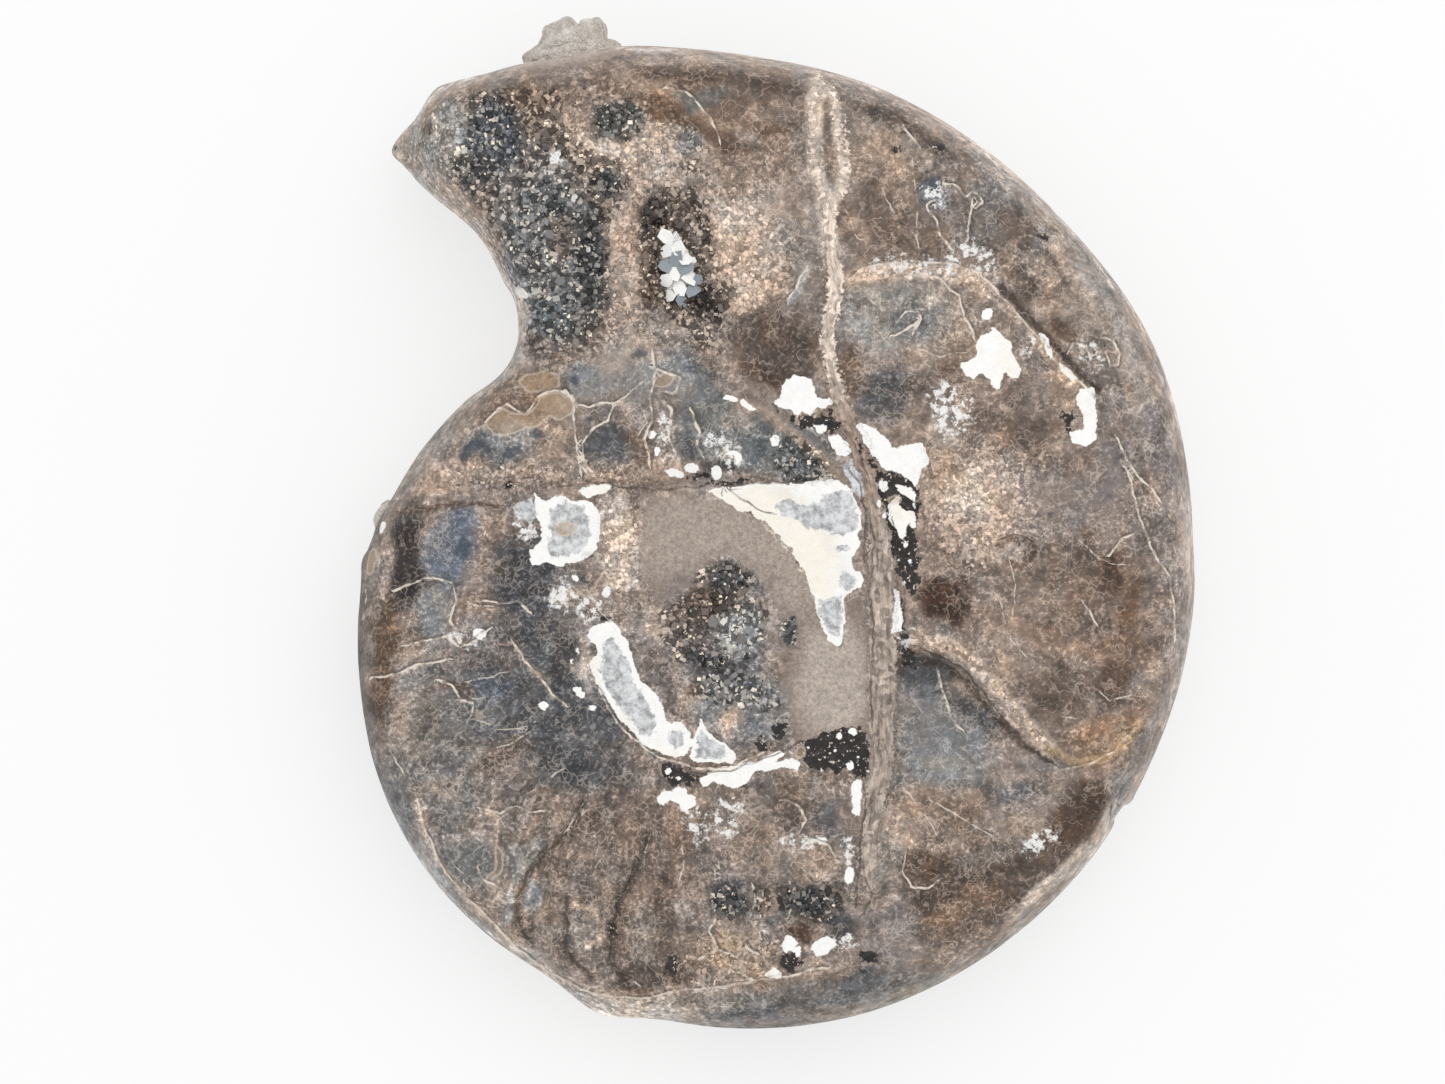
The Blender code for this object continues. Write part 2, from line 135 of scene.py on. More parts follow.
@dataclass(frozen=True)
class PhotoView:
    """The camera's view: straight down, in perspective."""

    width_px: int = 1445
    height_px: int = 1084
    mm_per_px: float = 0.109
    origin_px: Point = (776.0, 525.0)
    level: float = 11.0
    distance: float = 525.0
    lens: float = 120.0
    sensor: float = 36.0

    @property
    def centre(self) -> Point:
        """The point in millimetres under the middle of the picture."""
        across = self.width_px / 2.0 - self.origin_px[0]
        up = self.origin_px[1] - self.height_px / 2.0
        return (across * self.mm_per_px, up * self.mm_per_px)

    def pixels(self, points: Array) -> Array:
        """The pixel that shows each point.

        Args:
            points: Points as rows of x, y and z in millimetres.

        Returns:
            Rows of the pixel's column and row.
        """
        nearer = self.distance / (self.distance + self.level - points[:, 2]) / self.mm_per_px
        across = self.width_px / 2.0 + (points[:, 0] - self.centre[0]) * nearer
        down = self.height_px / 2.0 - (points[:, 1] - self.centre[1]) * nearer
        return np.stack([across, down], axis=1)


VIEW = PhotoView()
FACE_MM_PER_PX = VIEW.mm_per_px * (VIEW.distance + VIEW.level - 22.0) / VIEW.distance


def unscreened(colours: Array) -> Array:
    """Screen colours, 0 to 255, as linear shares from 0 to 1."""
    shares = np.clip(colours / 255.0, 0.0, 1.0)
    return np.where(shares <= 0.04045, shares / 12.92, ((shares + 0.055) / 1.055) ** 2.4)


def linear(colour: Colour) -> tuple[float, float, float, float]:
    """A screen colour as the linear colour that shaders take."""
    red, green, blue = unscreened(np.array(colour)).tolist()
    return (red, green, blue, 1.0)


def albedo(colours: Array) -> Array:
    """Screen colours as surface colours: linear, less the light that the surface mirrors."""
    return np.clip(unscreened(colours) - MIRRORED, 0.004, 1.0)


def bell(value: Array) -> Array:
    """1 at 0, falling smoothly to 0 at 1 on either side."""
    inside = np.clip(1.0 - np.abs(value), 0.0, 1.0)
    return inside * inside * (3.0 - 2.0 * inside)


def ramp(value: Array) -> Array:
    """0 below 0, 1 above 1, smooth between them."""
    share = np.clip(value, 0.0, 1.0)
    return share * share * (3.0 - 2.0 * share)


def turned(xy: Array, degrees: float) -> Array:
    """Points turned about the origin, from the first axis towards the second."""
    cos, sin = math.cos(math.radians(degrees)), math.sin(math.radians(degrees))
    return np.stack([xy[:, 0] * cos - xy[:, 1] * sin, xy[:, 0] * sin + xy[:, 1] * cos], axis=1)


def smooth_noise(points: Array, size: float, layer: float = 0.0) -> Array:
    """Smooth noise at each point, about -1 to 1, with features of this size.

    Args:
        points: Rows of two or three coordinates.
        size: Size of the features, in the points' own units.
        layer: Chooses another pattern.

    Returns:
        One value for each point.
    """
    start = Vector((3.1, 7.7, 1.3))
    scaled = points / size
    if points.shape[1] == 2:
        return np.array([noise.noise(Vector((x, y, layer)) + start) for x, y in scaled])
    return np.array([noise.noise(Vector((x + layer, y, z)) + start) for x, y, z in scaled])


def line_field(points: Array, line: Array) -> tuple[Array, Array]:
    """Distance to a line and place along it.

    Args:
        points: Rows of two coordinates.
        line: The line's corners.

    Returns:
        The distance of each point, positive on the line's right where +Y is up, and the length along the
        line at the nearest place.
    """
    lengths = np.linalg.norm(np.diff(line, axis=0), axis=1)
    reached = np.concatenate([[0.0], np.cumsum(lengths)])
    best = np.full(len(points), np.inf)
    side, along = np.ones(len(points)), np.zeros(len(points))
    for start, end, length, before in zip(line[:-1], line[1:], lengths, reached):
        unit = (end - start) / length
        offset = points - start
        t = np.clip(offset @ unit, 0.0, length)
        distance = np.linalg.norm(offset - t[:, None] * unit, axis=1)
        nearer = distance < best
        right = np.where(offset[:, 0] * unit[1] - offset[:, 1] * unit[0] < 0.0, -1.0, 1.0)
        best = np.where(nearer, distance, best)
        side = np.where(nearer, right, side)
        along = np.where(nearer, before + t, along)
    return best * side, along


def inside(points: Array, loop: Array) -> Array:
    """True for each point inside the closed loop."""
    within = np.zeros(len(points), dtype=bool)
    for (x1, y1), (x2, y2) in zip(loop, np.roll(loop, -1, axis=0)):
        if y1 == y2:
            continue
        spans = (y1 > points[:, 1]) != (y2 > points[:, 1])
        within ^= spans & (points[:, 0] < (x2 - x1) * (points[:, 1] - y1) / (y2 - y1) + x1)
    return within


def loop_field(points: Array, loop: Array) -> Array:
    """Distance of each point to a closed loop's edge, positive inside it."""
    distance, _ = line_field(points, np.vstack([loop, loop[:1]]))
    return np.abs(distance) * np.where(inside(points, loop), 1.0, -1.0)


def near_box(points: Array, outline: Array, margin: float) -> Array:
    """True for each point in the outline's box, widened by a margin."""
    low, high = outline.min(axis=0) - margin, outline.max(axis=0) + margin
    return ((points > low) & (points < high)).all(axis=1)


def spaced(line: Array, spacing: float) -> Array:
    """Points along a line, about this far apart."""
    lengths = np.linalg.norm(np.diff(line, axis=0), axis=1)
    reached = np.concatenate([[0.0], np.cumsum(lengths)])
    stations = np.linspace(0.0, reached[-1], max(2, round(reached[-1] / spacing)) + 1)
    return np.stack([np.interp(stations, reached, line[:, axis]) for axis in range(2)], axis=1)


@dataclass(frozen=True)
class Coil:
    """The outer edge: a worn logarithmic spiral that ends in the broken mouth, in millimetres and degrees."""

    centre: Point = (-7.6, -9.9)
    radius_at_180: float = 38.0
    expansion: float = 1.94
    start: float = 126.6
    end: float = 458.5
    wear: tuple[tuple[float, float, float], ...] = (
        (132.0, 6.0, -0.3), (163.8, 2.4, 0.9), (171.0, 5.0, 0.75), (192.0, 14.0, -0.25), (225.0, 28.0, 0.3),
        (255.0, 9.0, 1.45), (328.0, 40.0, -0.32), (334.6, 1.3, -1.5), (336.6, 1.2, 0.5), (369.0, 6.0, -0.3),
        (392.0, 18.0, 0.75), (450.0, 22.0, -1.0),
    )
    mouth: tuple[Point, ...] = (
        (-17.4, 51.9), (-19.8, 51.6), (-22.6, 51.2), (-25.4, 50.7), (-28.0, 50.0), (-30.1, 49.5),
        (-33.4, 48.6), (-35.6, 48.2), (-37.0, 47.8), (-38.2, 46.3), (-38.8, 44.9), (-39.9, 43.6),
        (-41.2, 42.2), (-42.2, 40.9), (-41.6, 40.0), (-40.2, 38.9), (-38.9, 37.2), (-37.2, 35.6),
        (-34.9, 33.9), (-33.2, 32.4), (-31.6, 30.5), (-30.4, 28.2), (-29.7, 26.3), (-28.3, 24.6),
        (-28.1, 22.4), (-28.0, 20.6), (-27.9, 18.9),
    )
    rim_width: float = 4.6
    mouth_rim_width: float = 1.9
    chip_height: float = 0.09
    chip_size: float = 1.6

    def radius(self, angle: Array) -> Array:
        """Radius of the worn edge at each angle along the spiral."""
        radius = self.radius_at_180 * self.expansion ** ((angle - 180.0) / 360.0)
        for centre, half_width, height in self.wear:
            radius = radius + height * bell((angle - centre) / half_width)
        return radius

    def polar(self, xy: Array) -> tuple[Array, Array]:
        """Each point's distance from the centre, and its angle from 0 to 360 degrees."""
        away = xy - np.array(self.centre)
        return np.linalg.norm(away, axis=1), np.degrees(np.arctan2(away[:, 1], away[:, 0])) % 360.0

    def outline(self, spacing: float) -> tuple[Array, Array]:
        """The outer edge, anticlockwise.

        Args:
            spacing: Distance between its points.

        Returns:
            The points, and the width of the rounded rim at each.
        """
        angles = np.linspace(self.start, self.end, 4000)
        turns = np.radians(angles)
        edge = np.stack([np.cos(turns), np.sin(turns)], axis=1) * self.radius(angles)[:, None]
        spiral = spaced(edge + np.array(self.centre), spacing)
        mouth = spaced(np.array(self.mouth), spacing)
        points = np.vstack([spiral, mouth])
        widths = np.full(len(points), self.rim_width)
        broken = np.cumsum(np.linalg.norm(np.diff(mouth, axis=0, prepend=mouth[:1]), axis=1)) > 12.5
        widths[len(spiral):][broken] = self.mouth_rim_width
        for _ in range(round(40.0 / spacing)):
            widths = (np.roll(widths, 1) + 2.0 * widths + np.roll(widths, -1)) / 4.0
        for _ in range(3):
            points = (np.roll(points, 1, axis=0) + 2.0 * points + np.roll(points, -1, axis=0)) / 4.0
        chips = self.chip_height * smooth_noise(points, self.chip_size, 2.0)
        return inset(points, chips, 0), widths


def inset(points: Array, amounts: Array, smoothing: int) -> Array:
    """A closed loop moved inwards by these amounts, then relaxed so that it never crosses itself."""
    along = np.roll(points, -2, axis=0) - np.roll(points, 2, axis=0)
    along /= np.linalg.norm(along, axis=1)[:, None]
    moved = points + np.stack([-along[:, 1], along[:, 0]], axis=1) * amounts[:, None]
    for _ in range(smoothing):
        moved = (np.roll(moved, 1, axis=0) + 2.0 * moved + np.roll(moved, -1, axis=0)) / 4.0
    return moved


@dataclass(frozen=True)
class Ledge:
    """A step of the face. The side on the line's right is lower, and climbs back over its reach."""

    line: tuple[Point, ...]
    first_drop: float
    last_drop: float
    reach: float
    width: float = 0.45
    end_fade: float = 2.5

    def lowered(self, xy: Array) -> Array:
        """How far the step lowers each point."""
        side, along = line_field(xy, np.array(self.line))
        length = np.linalg.norm(np.diff(np.array(self.line), axis=0), axis=1).sum()
        drop = self.first_drop + (self.last_drop - self.first_drop) * along / length
        ends = ramp(along / self.end_fade) * ramp((length - along) / self.end_fade)
        return drop * ends * ramp(side / self.width) * (1.0 - ramp(side / self.reach))


@dataclass(frozen=True)
class Hollow:
    """A sunken patch of the face with a flat floor."""

    centre: Point
    half_sizes: Point
    turn: float
    depth: float
    floor_share: float = 0.72

    def lowered(self, xy: Array) -> Array:
        """How far the hollow lowers each point."""
        reach = np.linalg.norm(turned(xy - np.array(self.centre), -self.turn) / self.half_sizes, axis=1)
        reach += 0.12 * smooth_noise(xy, 1.5, 6.0)
        return self.depth * (1.0 - ramp((reach - self.floor_share) / (1.0 - self.floor_share)))


@dataclass(frozen=True)
class Groove:
    """A narrow furrow, or a ridge where its depth is negative."""

    line: tuple[Point, ...]
    half_width: float
    depth: float

    def lowered(self, xy: Array) -> Array:
        """How far the groove lowers each point."""
        line = np.array(self.line)
        side, along = line_field(xy, line)
        length = np.linalg.norm(np.diff(line, axis=0), axis=1).sum()
        ends = ramp(along / 3.0) * ramp((length - along) / 3.0)
        return self.depth * bell(side / self.half_width) * ends


@dataclass(frozen=True)
class FaceRelief:
    """Height of the polished face, in millimetres."""

    coil: Coil
    height: float = 22.6
    tilt: Point = (0.036, 0.042)
    crown: float = 0.0006
    umbilicus_radius: float = 14.5
    umbilicus_depth: float = 0.6
    umbilicus_edge: float = 2.5
    mound_centre: Point = (-6.6, -10.4)
    mound_radius: float = 6.2
    mound_height: float = 0.5
    mouth_tip: Point = (-42.2, 40.9)
    tip_reach: float = 8.0
    tip_drop: float = 6.5
    mouth_slope_reach: float = 7.0
    mouth_slope_drop: float = 1.6
    wear_height: float = 0.22
    wear_size: float = 9.0
    rough_centre: Point = (-23.5, 33.5)
    rough_half_sizes: Point = (15.0, 15.5)
    rough_height: float = 0.45
    rough_size: float = 2.2
    grit_height: float = 0.22
    grit_size: float = 0.8
    polish_height: float = 0.03
    polish_size: float = 1.3
    rib_pitch: float = 11.0
    rib_height: float = 0.28
    rib_sweep: float = 16.0
    rib_span: Point = (190.0, 268.0)
    ledges: tuple[Ledge, ...] = (
        Ledge(((-27.9, 18.9), (-23.5, 18.6), (-19.2, 19.6), (-14.8, 21.2), (-9.4, 19.8), (-5.9, 16.7),
               (-3.4, 14.5)), 1.1, 0.2, 9.0),
        Ledge(((14.0, -12.0), (20.1, -15.6), (24.4, -19.1), (28.2, -23.6), (31.0, -25.6), (36.4, -26.2)),
              1.0, 0.3, 10.0),
        Ledge(((-14.8, -51.8), (-8.3, -50.1), (-1.7, -48.7), (2.6, -48.9), (7.0, -47.7), (10.2, -45.8)),
              0.9, 1.1, 8.0),
        Ledge(((7.5, 27.3), (15.7, 28.3), (22.8, 27.8), (26.6, 23.2), (29.9, 19.6), (33.1, 16.3),
               (35.0, 13.6), (34.9, 8.9)), 0.2, 0.45, 7.0),
    )
    hollows: tuple[Hollow, ...] = (
        Hollow((-10.0, 28.6), (3.9, 7.8), 8.0, 1.1),
        Hollow((-23.6, 28.6), (4.2, 7.2), -6.0, 0.7),
        Hollow((-30.6, 42.2), (3.6, 4.6), 15.0, 0.6),
        Hollow((-5.2, -11.3), (4.2, 3.3), 10.0, 0.5),
        Hollow((29.1, 31.3), (0.8, 0.9), 0.0, 0.7, 0.4),
        Hollow((17.8, 41.2), (1.0, 0.6), -30.0, 0.5, 0.4),
        Hollow((32.9, 6.9), (0.6, 1.0), 20.0, 0.5, 0.4),
        Hollow((-20.3, -3.4), (0.6, 0.6), 0.0, 0.5, 0.4),
        Hollow((14.6, -12.6), (1.0, 1.5), 15.0, 0.7, 0.5),
    )
    grooves: tuple[Groove, ...] = (
        Groove(((4.6, 48.9), (4.1, 45.2), (3.8, 40.7), (4.9, 35.9), (5.9, 32.0), (5.9, 25.6), (5.5, 20.2),
                (6.8, 14.7), (8.7, 9.3), (10.5, 2.7), (11.7, -3.8), (12.1, -10.4), (12.5, -16.9),
                (11.7, -24.5), (11.2, -30.0), (10.4, -35.4)), 1.3, -0.5),
        Groove(((-40.0, 3.6), (-35.0, 4.1), (-27.0, 4.2), (-19.0, 4.7), (-12.6, 4.1), (-8.2, 4.6),
                (9.0, 4.9)), 0.5, 0.22),
        Groove(((-23.2, -35.5), (-27.3, -40.2), (-26.8, -43.3), (-24.7, -45.9)), 1.1, 0.3),
        Groove(((-14.7, -37.1), (-17.4, -43.3), (-17.3, -48.0), (-14.7, -49.6)), 1.1, 0.35),
        Groove(((-23.0, -44.5), (-20.4, -49.2)), 1.0, 0.25),
    )

    def level(self, xy: Array) -> Array:
        """Height of the face without its relief."""
        return self.height + self.tilt[0] * xy[:, 0] + self.tilt[1] * xy[:, 1]

    def at(self, xy: Array) -> Array:
        """Height of the face over each point."""
        height = self.level(xy) - self.crown * (xy * xy).sum(axis=1)
        radius, angle = self.coil.polar(xy)
        height -= self.umbilicus_depth * (1.0 - ramp((radius - self.umbilicus_radius) / self.umbilicus_edge))
        mound = np.linalg.norm(xy - self.mound_centre, axis=1)
        height += self.mound_height * bell(mound / self.mound_radius)
        first, last = self.rib_span
        ribbed = ramp((angle - first) / 12.0) * ramp((last - angle) / 12.0) * ramp((radius - 20.0) / 9.0)
        wave = (angle - self.rib_sweep * (radius / 40.0) ** 2) * 2.0 * math.pi / self.rib_pitch
        height += ribbed * self.rib_height * np.cos(wave)
        for shape in self.ledges + self.hollows + self.grooves:
            height -= shape.lowered(xy)
        side, _ = line_field(xy, np.array(self.coil.mouth[8:]))
        height -= self.mouth_slope_drop * (1.0 - ramp(np.abs(side) / self.mouth_slope_reach))
        tip = np.linalg.norm(xy - self.mouth_tip, axis=1)
        height -= self.tip_drop * bell(tip / self.tip_reach)
        reach = np.linalg.norm((xy - self.rough_centre) / self.rough_half_sizes, axis=1)
        rough = np.sqrt(bell(reach))
        height += self.wear_height * smooth_noise(xy, self.wear_size)
        height += self.rough_height * rough * smooth_noise(xy, self.rough_size, 4.0)
        height += self.grit_height * rough * smooth_noise(xy, self.grit_size, 11.0)
        return height + self.polish_height * smooth_noise(xy, self.polish_size, 12.0)


@dataclass(frozen=True)
class BackRelief:
    """Height of the underside, in millimetres: ground flat, with the umbilicus and the worn edge above it."""

    coil: Coil
    crown: float = 0.0034
    ground_depth: float = 4.6
    shoulder_lift: float = 2.6
    wear_height: float = 0.9
    wear_size: float = 14.0
    umbilicus_radius: float = 14.5
    umbilicus_depth: float = 3.4
    groove_depth: float = 0.8
    groove_half_width: float = 1.3
    mouth_tip: Point = (-42.2, 40.9)
    tip_reach: float = 8.0
    tip_rise: float = 6.0

    def at(self, xy: Array) -> Array:
        """Height of the underside over each point."""
        radius, angle = self.coil.polar(xy)
        swell = self.crown * (xy * xy).sum(axis=1) - self.ground_depth
        swell += self.wear_height * smooth_noise(xy, self.wear_size, 9.0)
        ground = np.clip(swell, 0.0, self.shoulder_lift)
        funnel = self.umbilicus_depth * (1.0 - ramp(radius / self.umbilicus_radius))
        turned_on = np.where(angle > self.coil.start, angle, angle + 360.0)
        before = self.coil.radius(turned_on) / self.coil.expansion
        groove = self.groove_depth * bell((radius - before) / self.groove_half_width)
        tip = np.linalg.norm(xy - self.mouth_tip, axis=1)
        return ground + funnel + groove + self.tip_rise * bell(tip / self.tip_reach)


@dataclass(frozen=True)
class Spot:
    """A round patch: its middle, half sizes and clockwise turn, in pixels of the photograph."""

    column: float
    row: float
    half_width: float
    half_height: float
    turn: float = 0.0

    def outline(self) -> Array:
        """The spot's edge as a closed loop."""
        angles = np.linspace(0.0, 2.0 * math.pi, 12, endpoint=False)
        ring = np.stack([np.cos(angles) * self.half_width, np.sin(angles) * self.half_height], axis=1)
        return turned(ring, self.turn) + (self.column, self.row)


Outline = tuple[float, ...]
Outlines = tuple[Outline, ...]
Spots = tuple[tuple[float, ...], ...]


def corners(outline: Outline) -> Array:
    """The corners of an outline or line that is written as columns and rows in turn."""
    return np.array(outline, dtype=float).reshape(-1, 2)


class PatchSet:
    """Patches of the face with one filling: outlines and spots, in pixels of the photograph."""

    layer: ClassVar[Layer]
    reach: ClassVar[float] = 14.0

    def outlines(self) -> list[Array]:
        """Every patch as a closed loop."""
        loops = []
        for part in fields(self):
            value = getattr(self, part.name)
            if isinstance(value[0], tuple):
                loops += [Spot(*spot).outline() for spot in value]
            else:
                loops.append(corners(value))
        return loops

    def distance(self, pixels: Array) -> Array:
        """How far inside a patch each pixel lies, in millimetres: negative outside, cut off at the reach."""
        depth = np.full(len(pixels), -self.reach)
        for loop in self.outlines():
            near = near_box(pixels, loop, self.reach)
            depth[near] = np.maximum(depth[near], loop_field(pixels[near], loop))
        return np.minimum(depth, self.reach) * FACE_MM_PER_PX


@dataclass(frozen=True)
class WhiteCalcite(PatchSet):
    """White calcite that fills chambers and cracks."""

    layer: ClassVar[Layer] = Layer.WHITE
    wedge: Outline = (
        704, 490, 745, 484, 780, 482, 795, 485, 829, 478, 848, 486, 854, 494, 861, 516, 861, 528, 857, 539,
        861, 544, 858, 551, 851, 559, 852, 568, 861, 573, 864, 581, 861, 588, 854, 590, 845, 596, 843, 609,
        845, 618, 841, 647, 832, 645, 823, 633, 815, 599, 807, 584, 803, 568, 795, 559, 792, 548, 783, 542,
        765, 520, 756, 519, 752, 511, 742, 513, 716, 497,
    )
    star: Outline = (
        961, 365, 977, 355, 977, 342, 986, 332, 994, 328, 1009, 342, 1013, 357, 1021, 370, 1019, 378,
        1011, 379, 1005, 372, 1000, 382, 998, 391, 992, 386, 990, 378, 982, 374, 973, 381, 965, 376,
    )
    tooth: Outline = (
        781, 387, 784, 382, 792, 376, 801, 375, 809, 379, 818, 398, 826, 401, 830, 398, 832, 404, 826, 408,
        815, 407, 809, 415, 803, 413, 796, 416, 790, 410, 784, 407, 779, 407, 776, 402, 781, 396,
    )
    chip_left: Outline = (812, 424, 827, 423, 827, 430, 820, 435)
    chip_right: Outline = (829, 435, 838, 433, 845, 441, 851, 452, 846, 457, 838, 454, 831, 444)
    branch: Outline = (
        857, 426, 862, 423, 876, 430, 885, 437, 893, 446, 900, 447, 905, 444, 922, 443, 925, 451, 931, 460,
        928, 466, 922, 468, 916, 489, 913, 488, 910, 481, 905, 477, 897, 472, 888, 471, 880, 466, 877, 458,
        871, 455, 869, 449, 863, 443,
    )
    branch_low: Outline = (880, 478, 885, 480, 889, 489, 885, 491, 880, 486)
    branch_mid: Outline = (897, 485, 908, 489, 916, 492, 916, 508, 912, 500, 904, 495, 898, 493)
    cream_foot: Outline = (
        888, 506, 894, 497, 899, 496, 900, 506, 905, 511, 914, 512, 914, 522, 907, 523, 906, 537, 900, 539,
        896, 528, 889, 520,
    )
    foot_edge: Outline = (894, 588, 898, 592, 899, 604, 904, 619, 900, 633, 892, 633, 893, 618, 894, 604)
    molar: Outline = (
        1080, 390, 1093, 388, 1097, 400, 1096, 440, 1085, 446, 1070, 442, 1070, 432, 1082, 430, 1084, 414,
        1076, 404,
    )
    ring: Outline = (
        535, 494, 545, 500, 557, 496, 570, 500, 586, 500, 594, 506, 600, 516, 600, 534, 596, 550, 586, 561,
        557, 566, 545, 561, 533, 566, 529, 551, 541, 542, 541, 526, 535, 514,
    )
    strip_above_ring: Outline = (576, 492, 586, 487, 606, 483, 612, 486, 602, 493, 588, 498)
    band: Outline = (
        588, 629, 610, 620, 618, 627, 626, 641, 641, 680, 657, 694, 663, 705, 665, 721, 680, 723, 690, 733,
        692, 745, 684, 756, 669, 756, 641, 743, 634, 733, 620, 719, 598, 686, 589, 662, 598, 655, 596, 645,
        588, 642,
    )
    corner: Outline = (
        700, 714, 705, 728, 729, 747, 737, 759, 732, 763, 716, 764, 694, 762, 690, 755, 697, 728,
    )
    strip: Outline = (
        697, 779, 710, 772, 726, 767, 758, 761, 780, 750, 785, 755, 774, 763, 793, 759, 802, 764, 799, 771,
        786, 768, 755, 772, 748, 782, 735, 790, 713, 783, 704, 787,
    )
    strip_left: Outline = (
        657, 798, 662, 790, 672, 791, 678, 785, 686, 788, 688, 795, 697, 798, 697, 807, 685, 810, 670, 799,
        664, 806, 658, 804,
    )
    pillar: Outline = (852, 782, 860, 779, 864, 782, 861, 791, 860, 804, 860, 815, 855, 817, 852, 807)
    base_right: Outline = (810, 947, 818, 938, 831, 937, 835, 944, 828, 954, 817, 955)
    base_strip: Outline = (762, 976, 774, 968, 783, 973, 778, 978)
    edge_chip: Outline = (1036, 331, 1044, 335, 1052, 350, 1054, 362, 1046, 352)
    edge_chip_low: Outline = (1056, 362, 1068, 367, 1078, 380, 1072, 380, 1061, 371)
    vug_floor: Outline = (664, 236, 676, 232, 690, 256, 696, 276, 698, 293, 684, 298, 667, 290, 664, 262)
    beads: Spots = (
        (671, 472, 8, 4), (681, 475, 5, 3), (693, 469, 7, 5), (716, 473, 6, 7), (739, 458, 3, 5),
        (733, 454, 7, 3), (652, 435, 5, 4), (657, 452, 3, 6, 20), (747, 404, 10, 3, 30),
        (730, 399, 8, 3, 20), (776, 441, 4, 6), (913, 525, 3, 4), (987, 315, 6, 6), (790, 944, 8, 8),
        (799, 951, 3, 6), (480, 634, 8, 5), (543, 706, 5, 4), (579, 692, 7, 4, 40), (592, 707, 4, 3),
        (572, 662, 2, 4), (578, 650, 2, 5), (575, 577, 3, 4), (556, 158, 5, 8, 30), (574, 198, 4, 5),
        (588, 250, 3, 4), (521, 293, 8, 5, 30), (380, 524, 6, 10), (607, 592, 4, 7, 30), (849, 877, 5, 9),
        (821, 841, 6, 4),
    )
    specks: Spots = (
        (839, 737, 3.5, 3.5), (853, 732, 4.5, 3.5), (849, 767, 4.5, 4.5), (837, 751, 2, 2),
        (858, 757, 2, 2), (824, 758, 2, 1.5), (809, 748, 2, 2), (867, 771, 2, 2), (669, 772, 3, 3),
        (680, 778, 2.5, 2), (905, 545, 2, 4), (899, 560, 2, 3), (910, 562, 2, 2), (903, 583, 2, 4),
        (880, 503, 2, 4), (884, 515, 2, 5), (789, 459, 2, 2),
    )


@dataclass(frozen=True)
class GreyCalcite(PatchSet):
    """Clear grey calcite, most of it inside the white."""

    layer: ClassVar[Layer] = Layer.CALCITE
    wedge_insert: Outline = (
        775, 506, 783, 500, 792, 499, 798, 506, 814, 503, 838, 491, 849, 491, 854, 497, 854, 506, 858, 516,
        857, 526, 848, 537, 835, 533, 807, 528, 795, 519, 781, 514,
    )
    wedge_window: Spots = ((843, 548, 6, 3.5), (847, 580, 9, 8), (560, 547, 14, 7))
    wedge_tip: Outline = (818, 600, 841, 597, 842, 618, 838, 636, 826, 630, 820, 616)
    wedge_corner: Outline = (841, 466, 854, 460, 857, 469, 861, 479, 863, 500, 857, 494, 851, 484, 845, 475)
    ring: Outline = (
        551, 508, 566, 503, 581, 505, 589, 514, 591, 534, 583, 550, 566, 557, 550, 557, 546, 545, 550, 534,
        548, 518,
    )
    ring_beside: Outline = (512, 508, 520, 500, 533, 502, 537, 512, 532, 522, 518, 521)
    band: Outline = (
        603, 643, 612, 638, 621, 651, 629, 667, 635, 686, 648, 702, 656, 717, 654, 735, 641, 734, 618, 705,
        605, 684, 599, 670, 605, 659,
    )
    band_end: Spots = ((676, 738, 9, 9),)
    corner: Outline = (700, 728, 707, 735, 720, 744, 728, 756, 713, 760, 696, 758, 697, 744)
    vug_facets: Spots = ((667, 260, 7, 6), (684, 262, 6, 5), (688, 289, 7, 6))


@dataclass(frozen=True)
class WhiteMottle(PatchSet):
    """Thin white calcite, broken up over the stone."""

    layer: ClassVar[Layer] = Layer.MOTTLE
    beside_star: Outline = (926, 388, 950, 382, 968, 398, 972, 416, 958, 440, 938, 440, 934, 420)
    above_layer: Outline = (868, 262, 900, 254, 940, 262, 958, 242, 972, 238, 998, 260, 996, 276, 870, 272)
    whorl: Outline = (722, 432, 738, 446, 744, 462, 730, 470, 716, 456, 700, 444, 706, 430)
    under_strip: Outline = (715, 804, 742, 800, 742, 811, 735, 820, 736, 833, 728, 842, 719, 834, 711, 817)
    under_strip_left: Outline = (678, 806, 700, 808, 708, 836, 700, 846, 690, 830)
    spots: Spots = (
        (462, 640, 16, 8, 20), (560, 600, 14, 16), (565, 590, 8, 12), (524, 530, 12, 10), (848, 850, 8, 12),
        (842, 940, 13, 6), (800, 840, 18, 7), (1028, 346, 12, 6, 50), (906, 640, 10, 8), (664, 430, 6, 18),
        (1090, 352, 16, 8, 30), (548, 162, 16, 12), (1040, 840, 20, 10, -30), (936, 196, 12, 12),
        (590, 610, 12, 14),
    )


@dataclass(frozen=True)
class IvoryTint(PatchSet):
    """Where white calcite is ivory."""

    layer: ClassVar[Layer] = Layer.IVORY
    wedge: Outline = (700, 488, 790, 484, 800, 500, 826, 520, 838, 545, 836, 600, 800, 600, 740, 530)
    spots: Spots = (
        (900, 508, 10, 12), (1008, 362, 8, 16, -20), (1074, 408, 8, 10), (592, 672, 7, 26),
        (618, 722, 8, 22, -45), (655, 754, 26, 6, 12), (714, 764, 26, 5), (773, 974, 9, 5),
        (520, 293, 9, 7), (604, 489, 12, 5), (1064, 370, 14, 8, 40),
    )


